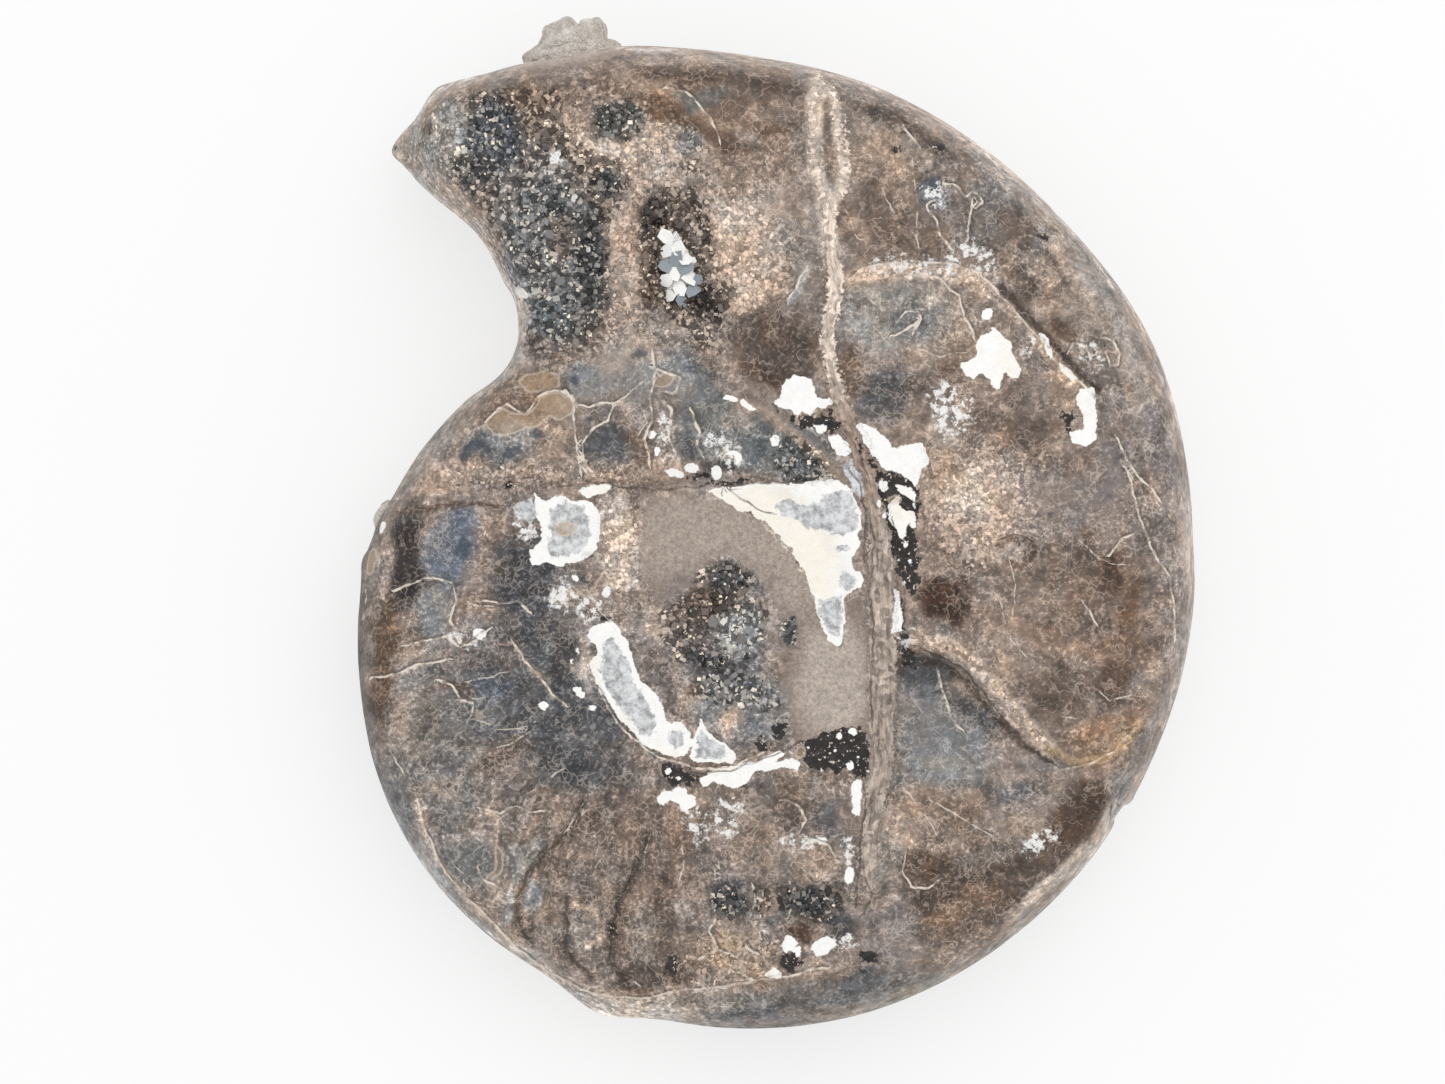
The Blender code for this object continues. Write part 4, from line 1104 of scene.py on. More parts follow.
@dataclass(frozen=True)
class FaceTints:
    """Colours of the stone and some painted shade: soft patches, the largest first, then strokes."""

    base: Colour = (140, 126, 117)
    spread: float = 1.12
    full_share: float = 0.55
    fade_share: float = 0.75
    washes: tuple[Wash, ...] = (
        Wash(Shade.SOOT, (
            (406, 560, 20, 60, 4, 1), (566, 660, 14, 30, 0, 0.5), (706, 300, 16, 24, -20, 0.7),
            (652, 214, 14, 20, 20, 0.7),
        )),
        Wash(Shade.SEAL, ((948, 600, 26, 24, 0, 0.95), (798, 936, 14, 8, 0, 0.8))),
        Wash(Shade.CHARCOAL, (
            (528, 578, 36, 46, 0, 0.95), (922, 668, 34, 16, 30, 0.8), (806, 900, 26, 16, 0, 0.8),
            (716, 662, 40, 10, 0, 0.7), (842, 928, 16, 12, 0, 0.7), (724, 470, 22, 8, 0, 0.7),
        )),
        Wash(Shade.GRAPHITE, (
            (590, 770, 50, 22, 20, 0.7), (884, 396, 34, 28), (592, 262, 15, 62, 0, 0.9),
            (980, 716, 34, 14, 30, 0.8), (732, 580, 26, 14, 10, 0.7), (500, 628, 34, 10, 0, 0.7),
            (606, 184, 20, 16, 0, 0.8), (728, 900, 22, 14, 0, 0.7), (690, 450, 14, 20, 0, 0.7),
            (740, 1012, 50, 5, 0, 0.7),
        )),
        Wash(Shade.LEAD, (
            (548, 700, 104, 86, 0, 0.95), (606, 446, 26, 22, 0, 0.9), (1006, 790, 40, 10, -6, 0.6),
            (920, 690, 26, 14, 20, 0.7), (830, 822, 14, 26, 0, 0.6), (860, 984, 30, 8, -14, 0.7),
        )),
        Wash(Shade.WALNUT, (
            (1082, 812, 44, 24, -50, 0.95), (1114, 684, 20, 34, 14, 0.8), (1112, 580, 16, 28, 10, 0.9),
            (724, 140, 36, 10, 20, 0.7), (930, 862, 26, 12, 0, 0.7), (381, 694, 9, 34, -4, 0.9),
            (760, 372, 22, 12, 20, 0.7), (1066, 330, 18, 10, 40, 0.7), (452, 690, 20, 8, 10, 0.7),
        )),
        Wash(Shade.COCOA, (
            (968, 890, 74, 48, -14, 0.9), (782, 345, 48, 40, 10, 0.95), (1050, 855, 54, 28, -34, 0.9),
            (1062, 690, 30, 42, 20, 0.7), (668, 900, 12, 50, 6, 0.6), (655, 980, 40, 14, -4, 0.7),
            (600, 812, 40, 12, -30, 0.6), (1030, 430, 26, 16, 0, 0.7), (790, 808, 14, 28, 0, 0.7),
            (1060, 262, 12, 26, -20, 0.7), (1022, 282, 10, 22, -20, 0.7), (1084, 546, 12, 16, 0, 0.7),
            (424, 126, 8, 9, 0, 0.9),
        )),
        Wash(Shade.STEEL, (
            (497, 138, 30, 40, 0, 0.9), (936, 190, 20, 18, 0, 0.9), (492, 690, 22, 10, 0, 0.8),
        )),
        Wash(Shade.DENIM, ((450, 548, 26, 44, 12),)),
        Wash(Shade.UMBER, (
            (672, 108, 40, 16, 20), (384, 640, 14, 40, 0, 0.9), (846, 372, 20, 24, 0, 0.6),
            (1136, 610, 12, 40, 6, 0.7), (764, 128, 26, 7, 14, 0.7),
        )),
        Wash(Shade.CLAY, (
            (640, 920, 34, 60, 10, 0.6), (745, 82, 110, 16, 6, 0.7), (708, 604, 44, 16, -16, 0.7),
            (940, 384, 30, 22, -30, 0.8), (500, 760, 46, 14, -24, 0.6), (880, 200, 16, 34, -10, 0.6),
            (1016, 226, 14, 26, -40, 0.8), (900, 650, 14, 22, 0, 0.7),
        )),
        Wash(Shade.ASH, (
            (566, 605, 20, 40, 10, 0.7), (617, 120, 30, 22, 5, 0.95), (478, 168, 20, 16, 0, 0.8),
        )),
        Wash(Shade.MOLE, (
            (778, 904, 80, 26, 0, 0.9), (990, 215, 44, 34, 40), (900, 118, 90, 14, 32, 0.8),
            (990, 858, 34, 16, -10, 0.7),
        )),
        Wash(Shade.IRON, (
            (782, 450, 52, 34, 20, 0.9), (708, 424, 34, 40, 0, 0.9), (796, 248, 22, 44, -4, 0.35),
            (466, 862, 30, 26, 0, 0.95), (550, 322, 24, 24), (545, 208, 20, 14, 0, 0.8),
            (706, 96, 26, 9, 14, 0.7), (789, 630, 12, 18, -10, 0.8), (706, 380, 10, 16, -20, 0.7),
        )),
        Wash(Shade.HAZEL, (
            (720, 115, 130, 62, 8), (1078, 610, 94, 70, 10, 0.9), (890, 235, 60, 34, 20),
            (660, 830, 46, 30, 0, 0.7), (524, 404, 44, 28, -12), (1000, 420, 40, 30, 0, 0.7),
            (1140, 720, 20, 24, 0, 0.7), (640, 452, 16, 24, 0, 0.6), (650, 280, 9, 26, 0, 0.7),
        )),
        Wash(Shade.DRAB, (
            (600, 880, 104, 92), (800, 820, 66, 58), (680, 262, 46, 80, -8, 0.98),
            (1150, 520, 26, 90, -8, 0.7), (1104, 365, 40, 50), (500, 655, 30, 16, 20, 0.6),
        )),
        Wash(Shade.STONE, (
            (440, 780, 52, 70), (1055, 240, 22, 110, -38, 0.6), (785, 1002, 104, 20, -3, 0.95),
            (900, 985, 50, 18, -18, 0.8), (420, 690, 22, 40, 0, 0.7), (912, 328, 26, 18, -10),
            (584, 928, 18, 20, 0, 0.8), (1120, 780, 20, 14, -40, 0.7),
        )),
        Wash(Shade.PEWTER, (
            (938, 745, 54, 52, 0, 0.9), (470, 700, 40, 24, 10, 0.6), (500, 444, 38, 20, -8),
            (400, 790, 12, 40, -14, 0.7),
        )),
        Wash(Shade.LILAC, (
            (545, 250, 58, 100, -6, 0.9), (738, 700, 54, 40, 20, 0.9), (655, 370, 52, 34, 8, 0.95),
            (436, 612, 18, 36), (588, 384, 28, 22), (520, 858, 30, 16, -24, 0.6),
            (532, 898, 12, 22, 10, 0.8), (690, 140, 14, 16, 0, 0.7),
        )),
        Wash(Shade.MAUVE, (
            (712, 622, 72, 58, -14, 0.98), (1125, 440, 45, 60, -15), (1086, 508, 62, 34),
            (888, 925, 32, 40), (1030, 760, 38, 32, 0, 0.8), (660, 425, 32, 38, 0, 0.8),
        )),
        Wash(Shade.SIENNA, (
            (1100, 740, 36, 24, -30, 0.8), (960, 906, 40, 12, -20, 0.6), (566, 529, 12, 8, 0, 1),
        )),
        Wash(Shade.BARK, (
            (940, 830, 60, 40, 10, 0.6), (560, 92, 70, 14, -4, 0.6), (1056, 446, 36, 22, 0, 0.7),
        )),
        Wash(Shade.PUTTY, (
            (440, 430, 34, 26, -38, 0.7), (886, 858, 20, 34, 0, 0.9), (644, 930, 16, 34, 10, 0.7),
            (742, 430, 20, 8, 30, 0.7),
        )),
        Wash(Shade.FAWN, (
            (775, 150, 45, 50), (1040, 388, 24, 26, 0, 0.7), (762, 840, 18, 24, 0, 0.7),
            (562, 238, 15, 28, 0, 0.7),
        )),
        Wash(Shade.BUFF, (
            (890, 160, 60, 60, 40), (1040, 255, 42, 58, -20), (958, 350, 46, 50, 10, 0.7),
            (1062, 310, 34, 46, -20), (1010, 650, 34, 40, 30, 0.6), (1162, 700, 20, 60, 8, 0.7),
            (540, 900, 34, 30, 30, 0.6), (812, 852, 36, 20, 0, 0.8), (556, 446, 22, 30, 0, 0.7),
            (1060, 650, 34, 14, 40, 0.6), (1040, 600, 30, 14, 10, 0.6), (536, 112, 16, 26, 0, 0.8),
            (904, 812, 12, 30, 20, 0.7), (500, 884, 14, 24, 30, 0.6), (690, 696, 16, 20, 0, 0.7),
            (1030, 826, 22, 14, -20, 0.7), (442, 790, 18, 16, 0, 0.7), (768, 906, 8, 26, 0, 0.7),
            (568, 596, 14, 14, 0, 0.7),
        )),
        Wash(Shade.DOVE, ((893, 315, 62, 34), (950, 770, 34, 14, 10, 0.7))),
        Wash(Shade.SAND, (
            (742, 956, 50, 24, 0, 0.9), (940, 470, 18, 40, 0, 0.6), (860, 130, 14, 30, 0, 0.6),
            (1070, 396, 14, 26, -20, 0.8),
        )),
        Wash(Shade.MARL, (
            (730, 560, 110, 70, 20, 1), (640, 345, 80, 18, -14, 0.8), (680, 170, 40, 18, 0, 0.7),
            (634, 615, 26, 20, 10, 0.7), (658, 634, 16, 12, 0, 0.7),
        )),
        Wash(Shade.PARCHMENT, ((835, 685, 42, 66, 0, 1), (584, 664, 12, 30, 0, 0.8))),
        Wash(Shade.BISCUIT, (
            (622, 280, 22, 80, -4, 0.95), (462, 215, 22, 52, -34), (620, 470, 60, 14, 0, 0.7),
            (440, 474, 46, 14, -12, 0.8), (731, 724, 12, 16, 0, 0.9), (1036, 258, 12, 8, 40, 0.8),
        )),
        Wash(Shade.DOVE, ((436, 140, 50, 54, 0, 0.95),)),
        Wash(Shade.MIST, ((738, 628, 30, 32, 0, 0.9),)),
        Wash(Shade.SHELL, (
            (642, 138, 84, 60, 20, 0.95), (750, 250, 46, 70, -8, 0.95), (520, 472, 60, 8, 0, 0.6),
            (700, 988, 26, 6, -10, 0.7),
        )),
        Wash(Shade.SUGAR, ((982, 500, 60, 60, 20, 0.8),)),
        Wash(Shade.OAT, (
            (618, 548, 22, 50, 0, 0.9), (730, 214, 16, 28, -20, 0.6), (604, 146, 34, 8, 14, 0.7),
        )),
        Wash(Shade.CHALK, ((625, 1005, 62, 16, 8, 0.95),)),
        Wash(Shade.BRIGHT, ((966, 492, 26, 22, 20, 0.6),)),
    )
    trails: tuple[Trail, ...] = (
        Trail(Shade.FAWN, 10, 0.8, (600, 54, 700, 60, 800, 72, 860, 88, 920, 114, 980, 156)),
        Trail(Shade.PARCHMENT, 9, 0.55, (980, 156, 1030, 204, 1080, 262, 1120, 330, 1150, 400)),
        Trail(Shade.COCOA, 6, 0.7, (640, 72, 720, 77, 800, 92, 850, 105, 890, 116, 920, 134, 950, 158)),
        Trail(Shade.BISCUIT, 6, 0.6, (1046, 240, 1090, 300, 1124, 372, 1146, 440, 1158, 500)),
        Trail(Shade.OAT, 9, 0.9, (817, 84, 814, 120, 815, 160, 824, 204, 832, 250)),
        Trail(Shade.OAT, 6, 0.9, (820, 84, 834, 100, 838, 140, 845, 175, 834, 204)),
        Trail(Shade.SUGAR, 9, 1, (850, 280, 876, 272, 906, 270, 940, 272, 972, 279, 990, 290)),
        Trail(Shade.BISCUIT, 6, 0.8, (990, 290, 1012, 312, 1034, 336, 1060, 368, 1088, 392)),
        # Painted shadow beside the chipped ridge of the layer edge.
        Trail(Shade.PAINTED_SHADE_BROWN, 4, 0.75, (1000, 286, 1030, 318, 1052, 344, 1074, 368, 1096, 390)),
        Trail(Shade.MAUVE, 14, 0.7, (1150, 420, 1172, 500, 1180, 600, 1168, 700, 1140, 780)),
        Trail(Shade.SHELL, 9, 1, (918, 642, 946, 644, 972, 662, 998, 690, 1022, 722, 1050, 748)),
        Trail(Shade.HONEY, 5, 0.8, (1050, 750, 1076, 762, 1104, 758, 1124, 744, 1138, 722)),
        # Painted shadow below the right-hand ledge.
        Trail(Shade.PAINTED_SHADE_BROWN, 4, 0.7, (926, 662, 950, 668, 972, 688, 994, 716, 1020, 744, 1050, 762)),
        Trail(Shade.WALNUT, 4, 0.6, (1000, 545, 1010, 538, 1028, 540, 1034, 552, 1022, 566, 1004, 562)),
        Trail(Shade.CHALK, 7, 0.9, (1030, 900, 1052, 882, 1074, 862, 1086, 848)),
        Trail(Shade.BISCUIT, 6, 0.7, (1010, 918, 1040, 896, 1070, 872, 1096, 842, 1108, 818)),
        # Painted shade in the three rib grooves.
        Trail(Shade.PAINTED_SHADE_BROWN, 5, 0.55, (583, 803, 571, 830, 548, 850, 528, 873, 518, 897, 518, 920, 529, 940)),
        Trail(Shade.PAINTED_SHADE_BROWN, 5, 0.55, (649, 834, 634, 873, 618, 905, 610, 936, 612, 963, 630, 987)),
        Trail(Shade.PAINTED_SHADE_BROWN, 4, 0.55, (567, 897, 567, 920, 565, 944, 579, 967, 591, 977)),
        Trail(Shade.BISCUIT, 3, 0.7, (572, 906, 590, 908, 602, 922, 600, 940, 588, 946)),
        Trail(Shade.DOVE, 5, 0.6, (540, 838, 524, 866, 508, 892, 506, 920)),
        Trail(Shade.SHELL, 4, 0.8, (418, 800, 424, 830, 446, 874, 489, 920, 516, 948, 555, 977)),
        Trail(Shade.BISCUIT, 4, 0.7, (555, 977, 594, 992, 641, 998, 680, 990)),
        Trail(Shade.SAND, 3, 0.6, (480, 806, 500, 820, 492, 836, 500, 850)),
        Trail(Shade.COCOA, 4, 0.7, (404, 476, 424, 450, 450, 424, 478, 402, 510, 384)),
        Trail(Shade.WALNUT, 3, 0.7, (392, 512, 430, 508, 470, 504, 500, 506)),
        Trail(Shade.SAND, 3, 0.6, (512, 640, 524, 660, 540, 676, 552, 694, 566, 704)),
        Trail(Shade.SUGAR, 3, 0.6, (716, 384, 740, 398, 768, 414, 800, 436, 826, 458)),
        Trail(Shade.BUFF, 5, 0.8, (740, 402, 768, 418, 800, 440, 826, 462, 842, 480)),
        Trail(Shade.BRIGHT, 3, 0.8, (432, 116, 436, 126, 432, 138)),
        Trail(Shade.CHALK, 7, 0.85, (398, 160, 425, 197, 460, 222, 485, 254, 503, 284, 518, 299)),
        Trail(Shade.BUFF, 6, 0.7, (404, 140, 424, 112, 444, 96, 480, 86)),
        Trail(Shade.MIST, 4, 0.7, (792, 300, 800, 284, 808, 266)),
    )

    def colours(self, soft: Array, crisp: Array) -> Array:
        """The stone's screen colour at each pixel.

        Args:
            soft: The pixels where the clouds are looked up.
            crisp: The pixels where the trails are looked up.

        Returns:
            Rows of red, green and blue.
        """
        made = np.tile(np.array(self.base, dtype=float), (len(soft), 1))
        clouds = [(wash.shade, Cloud(*cloud), soft) for wash in self.washes for cloud in wash.clouds]
        clouds.sort(key=lambda tint: -tint[1].half_width * tint[1].half_height)
        for shade, tint, pixels in clouds + [(trail.shade, trail, crisp) for trail in self.trails]:
            near = near_box(pixels, *tint.extent())
            out = (tint.reach(pixels[near]) - self.full_share) / self.fade_share
            share = tint.strength * (1.0 - ramp(out))[:, None]
            made[near] += (np.array(shade.value, dtype=float) - made[near]) * share
        return self.base + (made - self.base) * self.spread


@dataclass(frozen=True)
class RimColoursAndPaintedLight:
    """Colours of the rounded rim, by angle about the coil's centre, and of the unseen underside."""

    # The rim's own grey-beige, partly lightened as painted light against the shade that falls on the rounded
    # rim.
    stops: tuple[tuple[float, Colour], ...] = (
        (0, (196, 182, 170)), (30, (204, 190, 179)), (55, (210, 196, 186)), (90, (200, 186, 176)),
        (110, (206, 194, 186)), (130, (188, 180, 172)), (150, (166, 155, 145)), (170, (112, 103, 95)),
        (186, (84, 76, 70)), (205, (120, 116, 113)), (224, (182, 183, 184)), (240, (184, 177, 170)),
        (252, (214, 203, 192)), (262, (220, 209, 198)), (271, (134, 130, 127)), (300, (146, 137, 128)),
        (317, (192, 182, 172)), (328, (202, 194, 186)), (340, (190, 176, 164)), (360, (196, 182, 170)),
    )
    width: float = 2.6
    cover: float = 0.9
    wear: float = 0.8
    wear_size: float = 3.5
    underside: Colour = (140, 129, 120)
    underside_height: float = 2.5
    underside_cover: float = 0.8

    def blend(self, points: Array, angles: Array, depth: Array, colours: Array) -> Array:
        """The rim's colours laid over the face's.

        Args:
            points: Rows of x, y and z in millimetres.
            angles: Angle of each about the coil's centre.
            depth: How far inside the outer edge each point lies.
            colours: The face's screen colours.

        Returns:
            The blended screen colours.
        """
        stations = [angle for angle, _ in self.stops]
        rim = np.stack([np.interp(angles, stations, [c[i] for _, c in self.stops]) for i in range(3)], axis=1)
        worn = self.wear * smooth_noise(points, self.wear_size, 20.0)
        share = self.cover * (1.0 - ramp((depth + worn) / self.width))[:, None]
        made = colours + (rim - colours) * share
        low = self.underside_cover * (1.0 - ramp(points[:, 2] / self.underside_height))[:, None]
        return made + (np.array(self.underside, dtype=float) - made) * low


def moved_about(pixels: Array, steps: tuple[Point, ...], layer: float) -> Array:
    """Pixels moved about by smooth noise: each step has the size of its features and how far they move."""
    moved = pixels.copy()
    for number, (size, amount) in enumerate(steps):
        shifts = [smooth_noise(pixels, size, layer + number + 10.0 * axis) for axis in range(2)]
        moved += amount * np.column_stack(shifts)
    return moved


def new_piece(name: str, points: Array, faces: list, material: Material) -> bpy.types.Object:
    """An object of the fossil from points in millimetres.

    Args:
        name: Name of the piece.
        points: Rows of x, y and z.
        faces: Corner numbers of each face.
        material: Its finish.

    Returns:
        The object, smooth shaded, in the scene.
    """
    mesh = bpy.data.meshes.new(name)
    mesh.from_pydata((points * MM).tolist(), [], faces)
    mesh.materials.append(material)
    mesh.shade_smooth()
    piece = bpy.data.objects.new(name, mesh)
    bpy.context.scene.collection.objects.link(piece)
    return piece


def hand_over(piece: bpy.types.Object) -> None:
    """Makes a piece stand for the fossil's node and ride with it."""
    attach(piece, BODY)
    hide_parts(NODE)
    log.info("%s: %d faces", piece.name, len(piece.data.polygons))


def put_values(mesh: bpy.types.Mesh, name: str, values: Array) -> None:
    """Keeps one number for each vertex as an attribute of the mesh."""
    mesh.attributes.new(name, "FLOAT", "POINT").data.foreach_set("value", values.astype(np.float32))


def put_colours(mesh: bpy.types.Mesh, name: str, colours: Array) -> None:
    """Keeps a colour for each vertex, from screen colours."""
    rows = np.concatenate([albedo(colours), np.ones((len(colours), 1))], axis=1).astype(np.float32)
    mesh.attributes.new(name, "FLOAT_COLOR", "POINT").data.foreach_set("color", rows.ravel())


@dataclass(frozen=True)
class FossilSurface:
    """The fossil's whole outside as one closed mesh, with its markings as attributes."""

    coil: Coil
    face: FaceRelief
    back: BackRelief
    edge_spacing: float = 0.5
    face_spacing: float = 0.345
    back_spacing: float = 1.0
    face_rings: int = 18
    back_rings: int = 10
    edge_height_share: float = 0.47
    chips: float = 1.3
    chip_grain: float = 4.0
    warp_px: tuple[Point, ...] = ((34.0, 12.0), (12.0, 5.5))
    wander_px: tuple[Point, ...] = ((14.0, 2.2), (5.0, 1.1))
    patches: tuple[PatchSet, ...] = (
        WhiteCalcite(), IvoryTint(), WhiteMottle(), GreyCalcite(), BlackFilling(), DarkDruse(), TanGranules(),
        SandyMatrix(), SmoothSlate(), OchreStain(), NavySpots(),
    )
    lines: tuple[LineSet, ...] = (CreamLines(), Hairlines(), CracksAndPaintedShade())
    vein: VeinStrands = VeinStrands()
    tints: FaceTints = FaceTints()
    rim: RimColoursAndPaintedLight = RimColoursAndPaintedLight()
    side_start: float = 4.0
    side_fade: float = 0.4

    def rim_rings(
        self, edge: Array, widths: Array, count: int, flank: FaceRelief | BackRelief
    ) -> list[Array]:
        """Rings that round the rim from the widest line to the shoulder of a flank.

        Args:
            edge: The widest line.
            widths: Width of the rim at each of its points.
            count: Number of rings.
            flank: The flank that the last ring lies on.

        Returns:
            Rows of x, y and z for each ring.
        """
        rings, loop, before = [], edge, 0.0
        middle = self.edge_height_share * self.face.level(edge)
        narrow = self.coil.mouth_rim_width
        broken = ramp((self.coil.rim_width - widths) / (self.coil.rim_width - narrow) * 2.0 - 1.0)
        for k in range(1, count + 1):
            turn = math.pi / 2.0 * k / count
            reach = 1.0 - math.cos(turn)
            loop = inset(loop, widths * (reach - before), 9)
            before = reach
            if k < count:
                chips = np.clip(0.25 + smooth_noise(loop, self.chip_grain, 15.0 * k / count), 0.0, None)
                loop = inset(loop, self.chips * 3.0 / count * broken * chips, 0)
            heights = middle + (flank.at(loop) - middle) * math.sin(turn)
            rings.append(np.column_stack([loop, heights]))
        return rings

    def flank_grid(self, loop: Array, spacing: float) -> Array:
        """A triangular grid of points inside the loop, clear of its edge."""
        low, high = loop.min(axis=0), loop.max(axis=0)
        rows = np.arange(low[1], high[1], spacing * math.sqrt(3.0) / 2.0)
        columns = np.arange(low[0], high[0] + spacing, spacing)
        x, y = np.meshgrid(columns, rows)
        x = x + (np.arange(len(rows)) % 2)[:, None] * spacing / 2.0
        grid = np.column_stack([x.ravel(), y.ravel()])
        return grid[loop_field(grid, loop) > 0.6 * spacing]

    def shell(self) -> tuple[Array, list]:
        """The closed mesh: its points in millimetres and its faces."""
        edge, widths = self.coil.outline(self.edge_spacing)
        middle = self.edge_height_share * self.face.level(edge)
        points, faces = [np.column_stack([edge, middle])], []
        total = len(edge)
        steps = ((self.face, self.face_rings, self.face_spacing, True),
                 (self.back, self.back_rings, self.back_spacing, False))
        for flank, count, spacing, upwards in steps:
            outer = list(range(len(edge)))
            for ring in self.rim_rings(edge, widths, count, flank):
                inner = list(range(total, total + len(ring)))
                for i in range(len(outer)):
                    j = (i + 1) % len(outer)
                    quad = (outer[i], outer[j], inner[j], inner[i])
                    faces.append(quad if upwards else quad[::-1])
                points.append(ring)
                total += len(ring)
                outer = inner
            loop = ring[:, :2]
            flat = np.vstack([loop, self.flank_grid(loop, spacing)])
            places = [Vector(p) for p in flat.tolist()]
            boundary = [list(range(len(loop)))]
            found, _, made, origins, _, owners = delaunay_2d_cdt(places, [], boundary, 0, 1e-5, True)
            inner_points = np.array([(p.x, p.y) for p in found])
            number = np.empty(len(found), dtype=int)
            fresh = np.array([min(origin) >= len(loop) for origin in origins])
            number[fresh] = total + np.arange(fresh.sum())
            number[~fresh] = [outer[min(origin)] for origin, new in zip(origins, fresh) if not new]
            fill = inner_points[fresh]
            points.append(np.column_stack([fill, flank.at(fill)]))
            total += len(fill)
            for face, owner in zip(made, owners):
                if owner:
                    corner = number[face].tolist()
                    faces.append(corner if upwards else corner[::-1])
        return np.vstack(points), faces

    def mark(self, mesh: bpy.types.Mesh, points: Array) -> None:
        """Keeps the markings' fields on the mesh."""
        pixels = VIEW.pixels(points)
        warped = moved_about(pixels, self.warp_px, 30.0)
        wandering = moved_about(pixels, self.wander_px, 50.0)
        facing = points[:, 2] > self.edge_height_share * self.face.level(points[:, :2])
        sunk = self.face.at(points[:, :2]) - points[:, 2] - self.side_start
        faded = self.side_fade * np.clip(sunk, 0.0, None)
        for patch_set in self.patches:
            field = np.where(facing, patch_set.distance(wandering) - faded, -1.5)
            put_values(mesh, patch_set.layer.value, field)
        for line_set in self.lines:
            signed, near = line_set.distances(wandering)
            put_values(mesh, line_set.stroke.value, np.where(facing, signed, 1.0) + faded)
            put_values(mesh, line_set.stroke.value + "_near", np.where(facing, near, 1.0) + faded)
        depth, across, along = self.vein.fields_at(wandering)
        put_values(mesh, "vein", np.where(facing, depth, -1.5))
        put_values(mesh, "vein_across", across)
        put_values(mesh, "vein_along", along)
        edge, _ = self.coil.outline(self.edge_spacing)
        depth = loop_field(points[:, :2], edge[::3])
        put_values(mesh, "rim", depth)
        radius, angle = self.coil.polar(points[:, :2])
        put_values(mesh, "growth", angle - self.face.rib_sweep * (radius / 40.0) ** 2)
        put_values(mesh, "spiral", radius)
        colours = self.rim.blend(points, angle, depth, self.tints.colours(warped, wandering))
        put_colours(mesh, "tint", colours)

    def build(self, material: Material) -> bpy.types.Object:
        """The surface as a piece of the fossil."""
        points, faces = self.shell()
        piece = new_piece("fossil_surface", points, faces, material)
        self.mark(piece.data, points)
        hand_over(piece)
        return piece


@dataclass(frozen=True)
class Lump:
    """A lump of matrix: centre, half sizes, turn about Z in degrees and mesh divisions."""

    centre: tuple[float, float, float]
    half_sizes: tuple[float, float, float]
    turn: float
    divisions: int


@dataclass(frozen=True)
class MatrixLumps:
    """Sandy matrix still stuck to the outside."""

    lumps: tuple[Lump, ...] = (
        Lump((-22.4, 51.0, 12.3), (4.9, 2.2, 4.4), 8.0, 6),
        Lump((-23.2, 52.0, 12.8), (2.8, 2.7, 3.2), 12.0, 6),
        Lump((-20.4, 52.0, 12.2), (2.2, 3.0, 3.4), -8.0, 6),
        Lump((-42.2, 0.8, 9.8), (2.3, 1.5, 3.2), 70.0, 5),
    )
    swell: float = 0.3
    swell_grain: float = 1.5
    roughness: float = 0.14
    grain: float = 0.9
    colour: Colour = (226, 219, 211)
    dark: Colour = (184, 175, 165)

    def build(self, material: Material) -> bpy.types.Object:
        """All the lumps as one piece."""
        points, faces = [], []
        for lump in self.lumps:
            build = bmesh.new()
            bmesh.ops.create_icosphere(build, subdivisions=lump.divisions, radius=1.0)
            start = sum(len(p) for p in points)
            faces += [[start + v.index for v in face.verts] for face in build.faces]
            unit = np.array([v.co for v in build.verts])
            build.free()
            swell = [noise.noise(Vector(u) * self.swell_grain + Vector(lump.centre)) for u in unit]
            place = unit * np.array(lump.half_sizes) * (1.0 + self.swell * np.array(swell))[:, None]
            fine = self.roughness * smooth_noise(place + np.array(lump.centre), self.grain, 3.0)
            fine += 0.5 * self.roughness * smooth_noise(place + np.array(lump.centre), self.grain / 3.0, 5.0)
            place += unit * fine[:, None]
            place[:, :2] = turned(place[:, :2], lump.turn)
            points.append(place + np.array(lump.centre))
        points = np.vstack(points)
        piece = new_piece("matrix_lumps", points, faces, material)
        share = np.clip(0.5 + smooth_noise(points, 1.8, 7.0), 0.0, 1.0)[:, None]
        colours = np.array(self.colour) * (1.0 - share * 0.6) + np.array(self.dark) * share * 0.6
        put_colours(piece.data, "tint", colours)
        hand_over(piece)
        return piece


@dataclass(frozen=True)
class CrystalKind:
    """A kind of small crystal: its tone beside the stone's, how common it is, and its sizes in mm."""

    tone: float
    weight: float
    sizes: Point


@dataclass(frozen=True)
class Crust:
    """Small crystals with flat faces that line one patch set of the face."""

    patches: PatchSet
    kinds: tuple[CrystalKind, ...]
    per_mm2: float
    margin: float
    sink: float


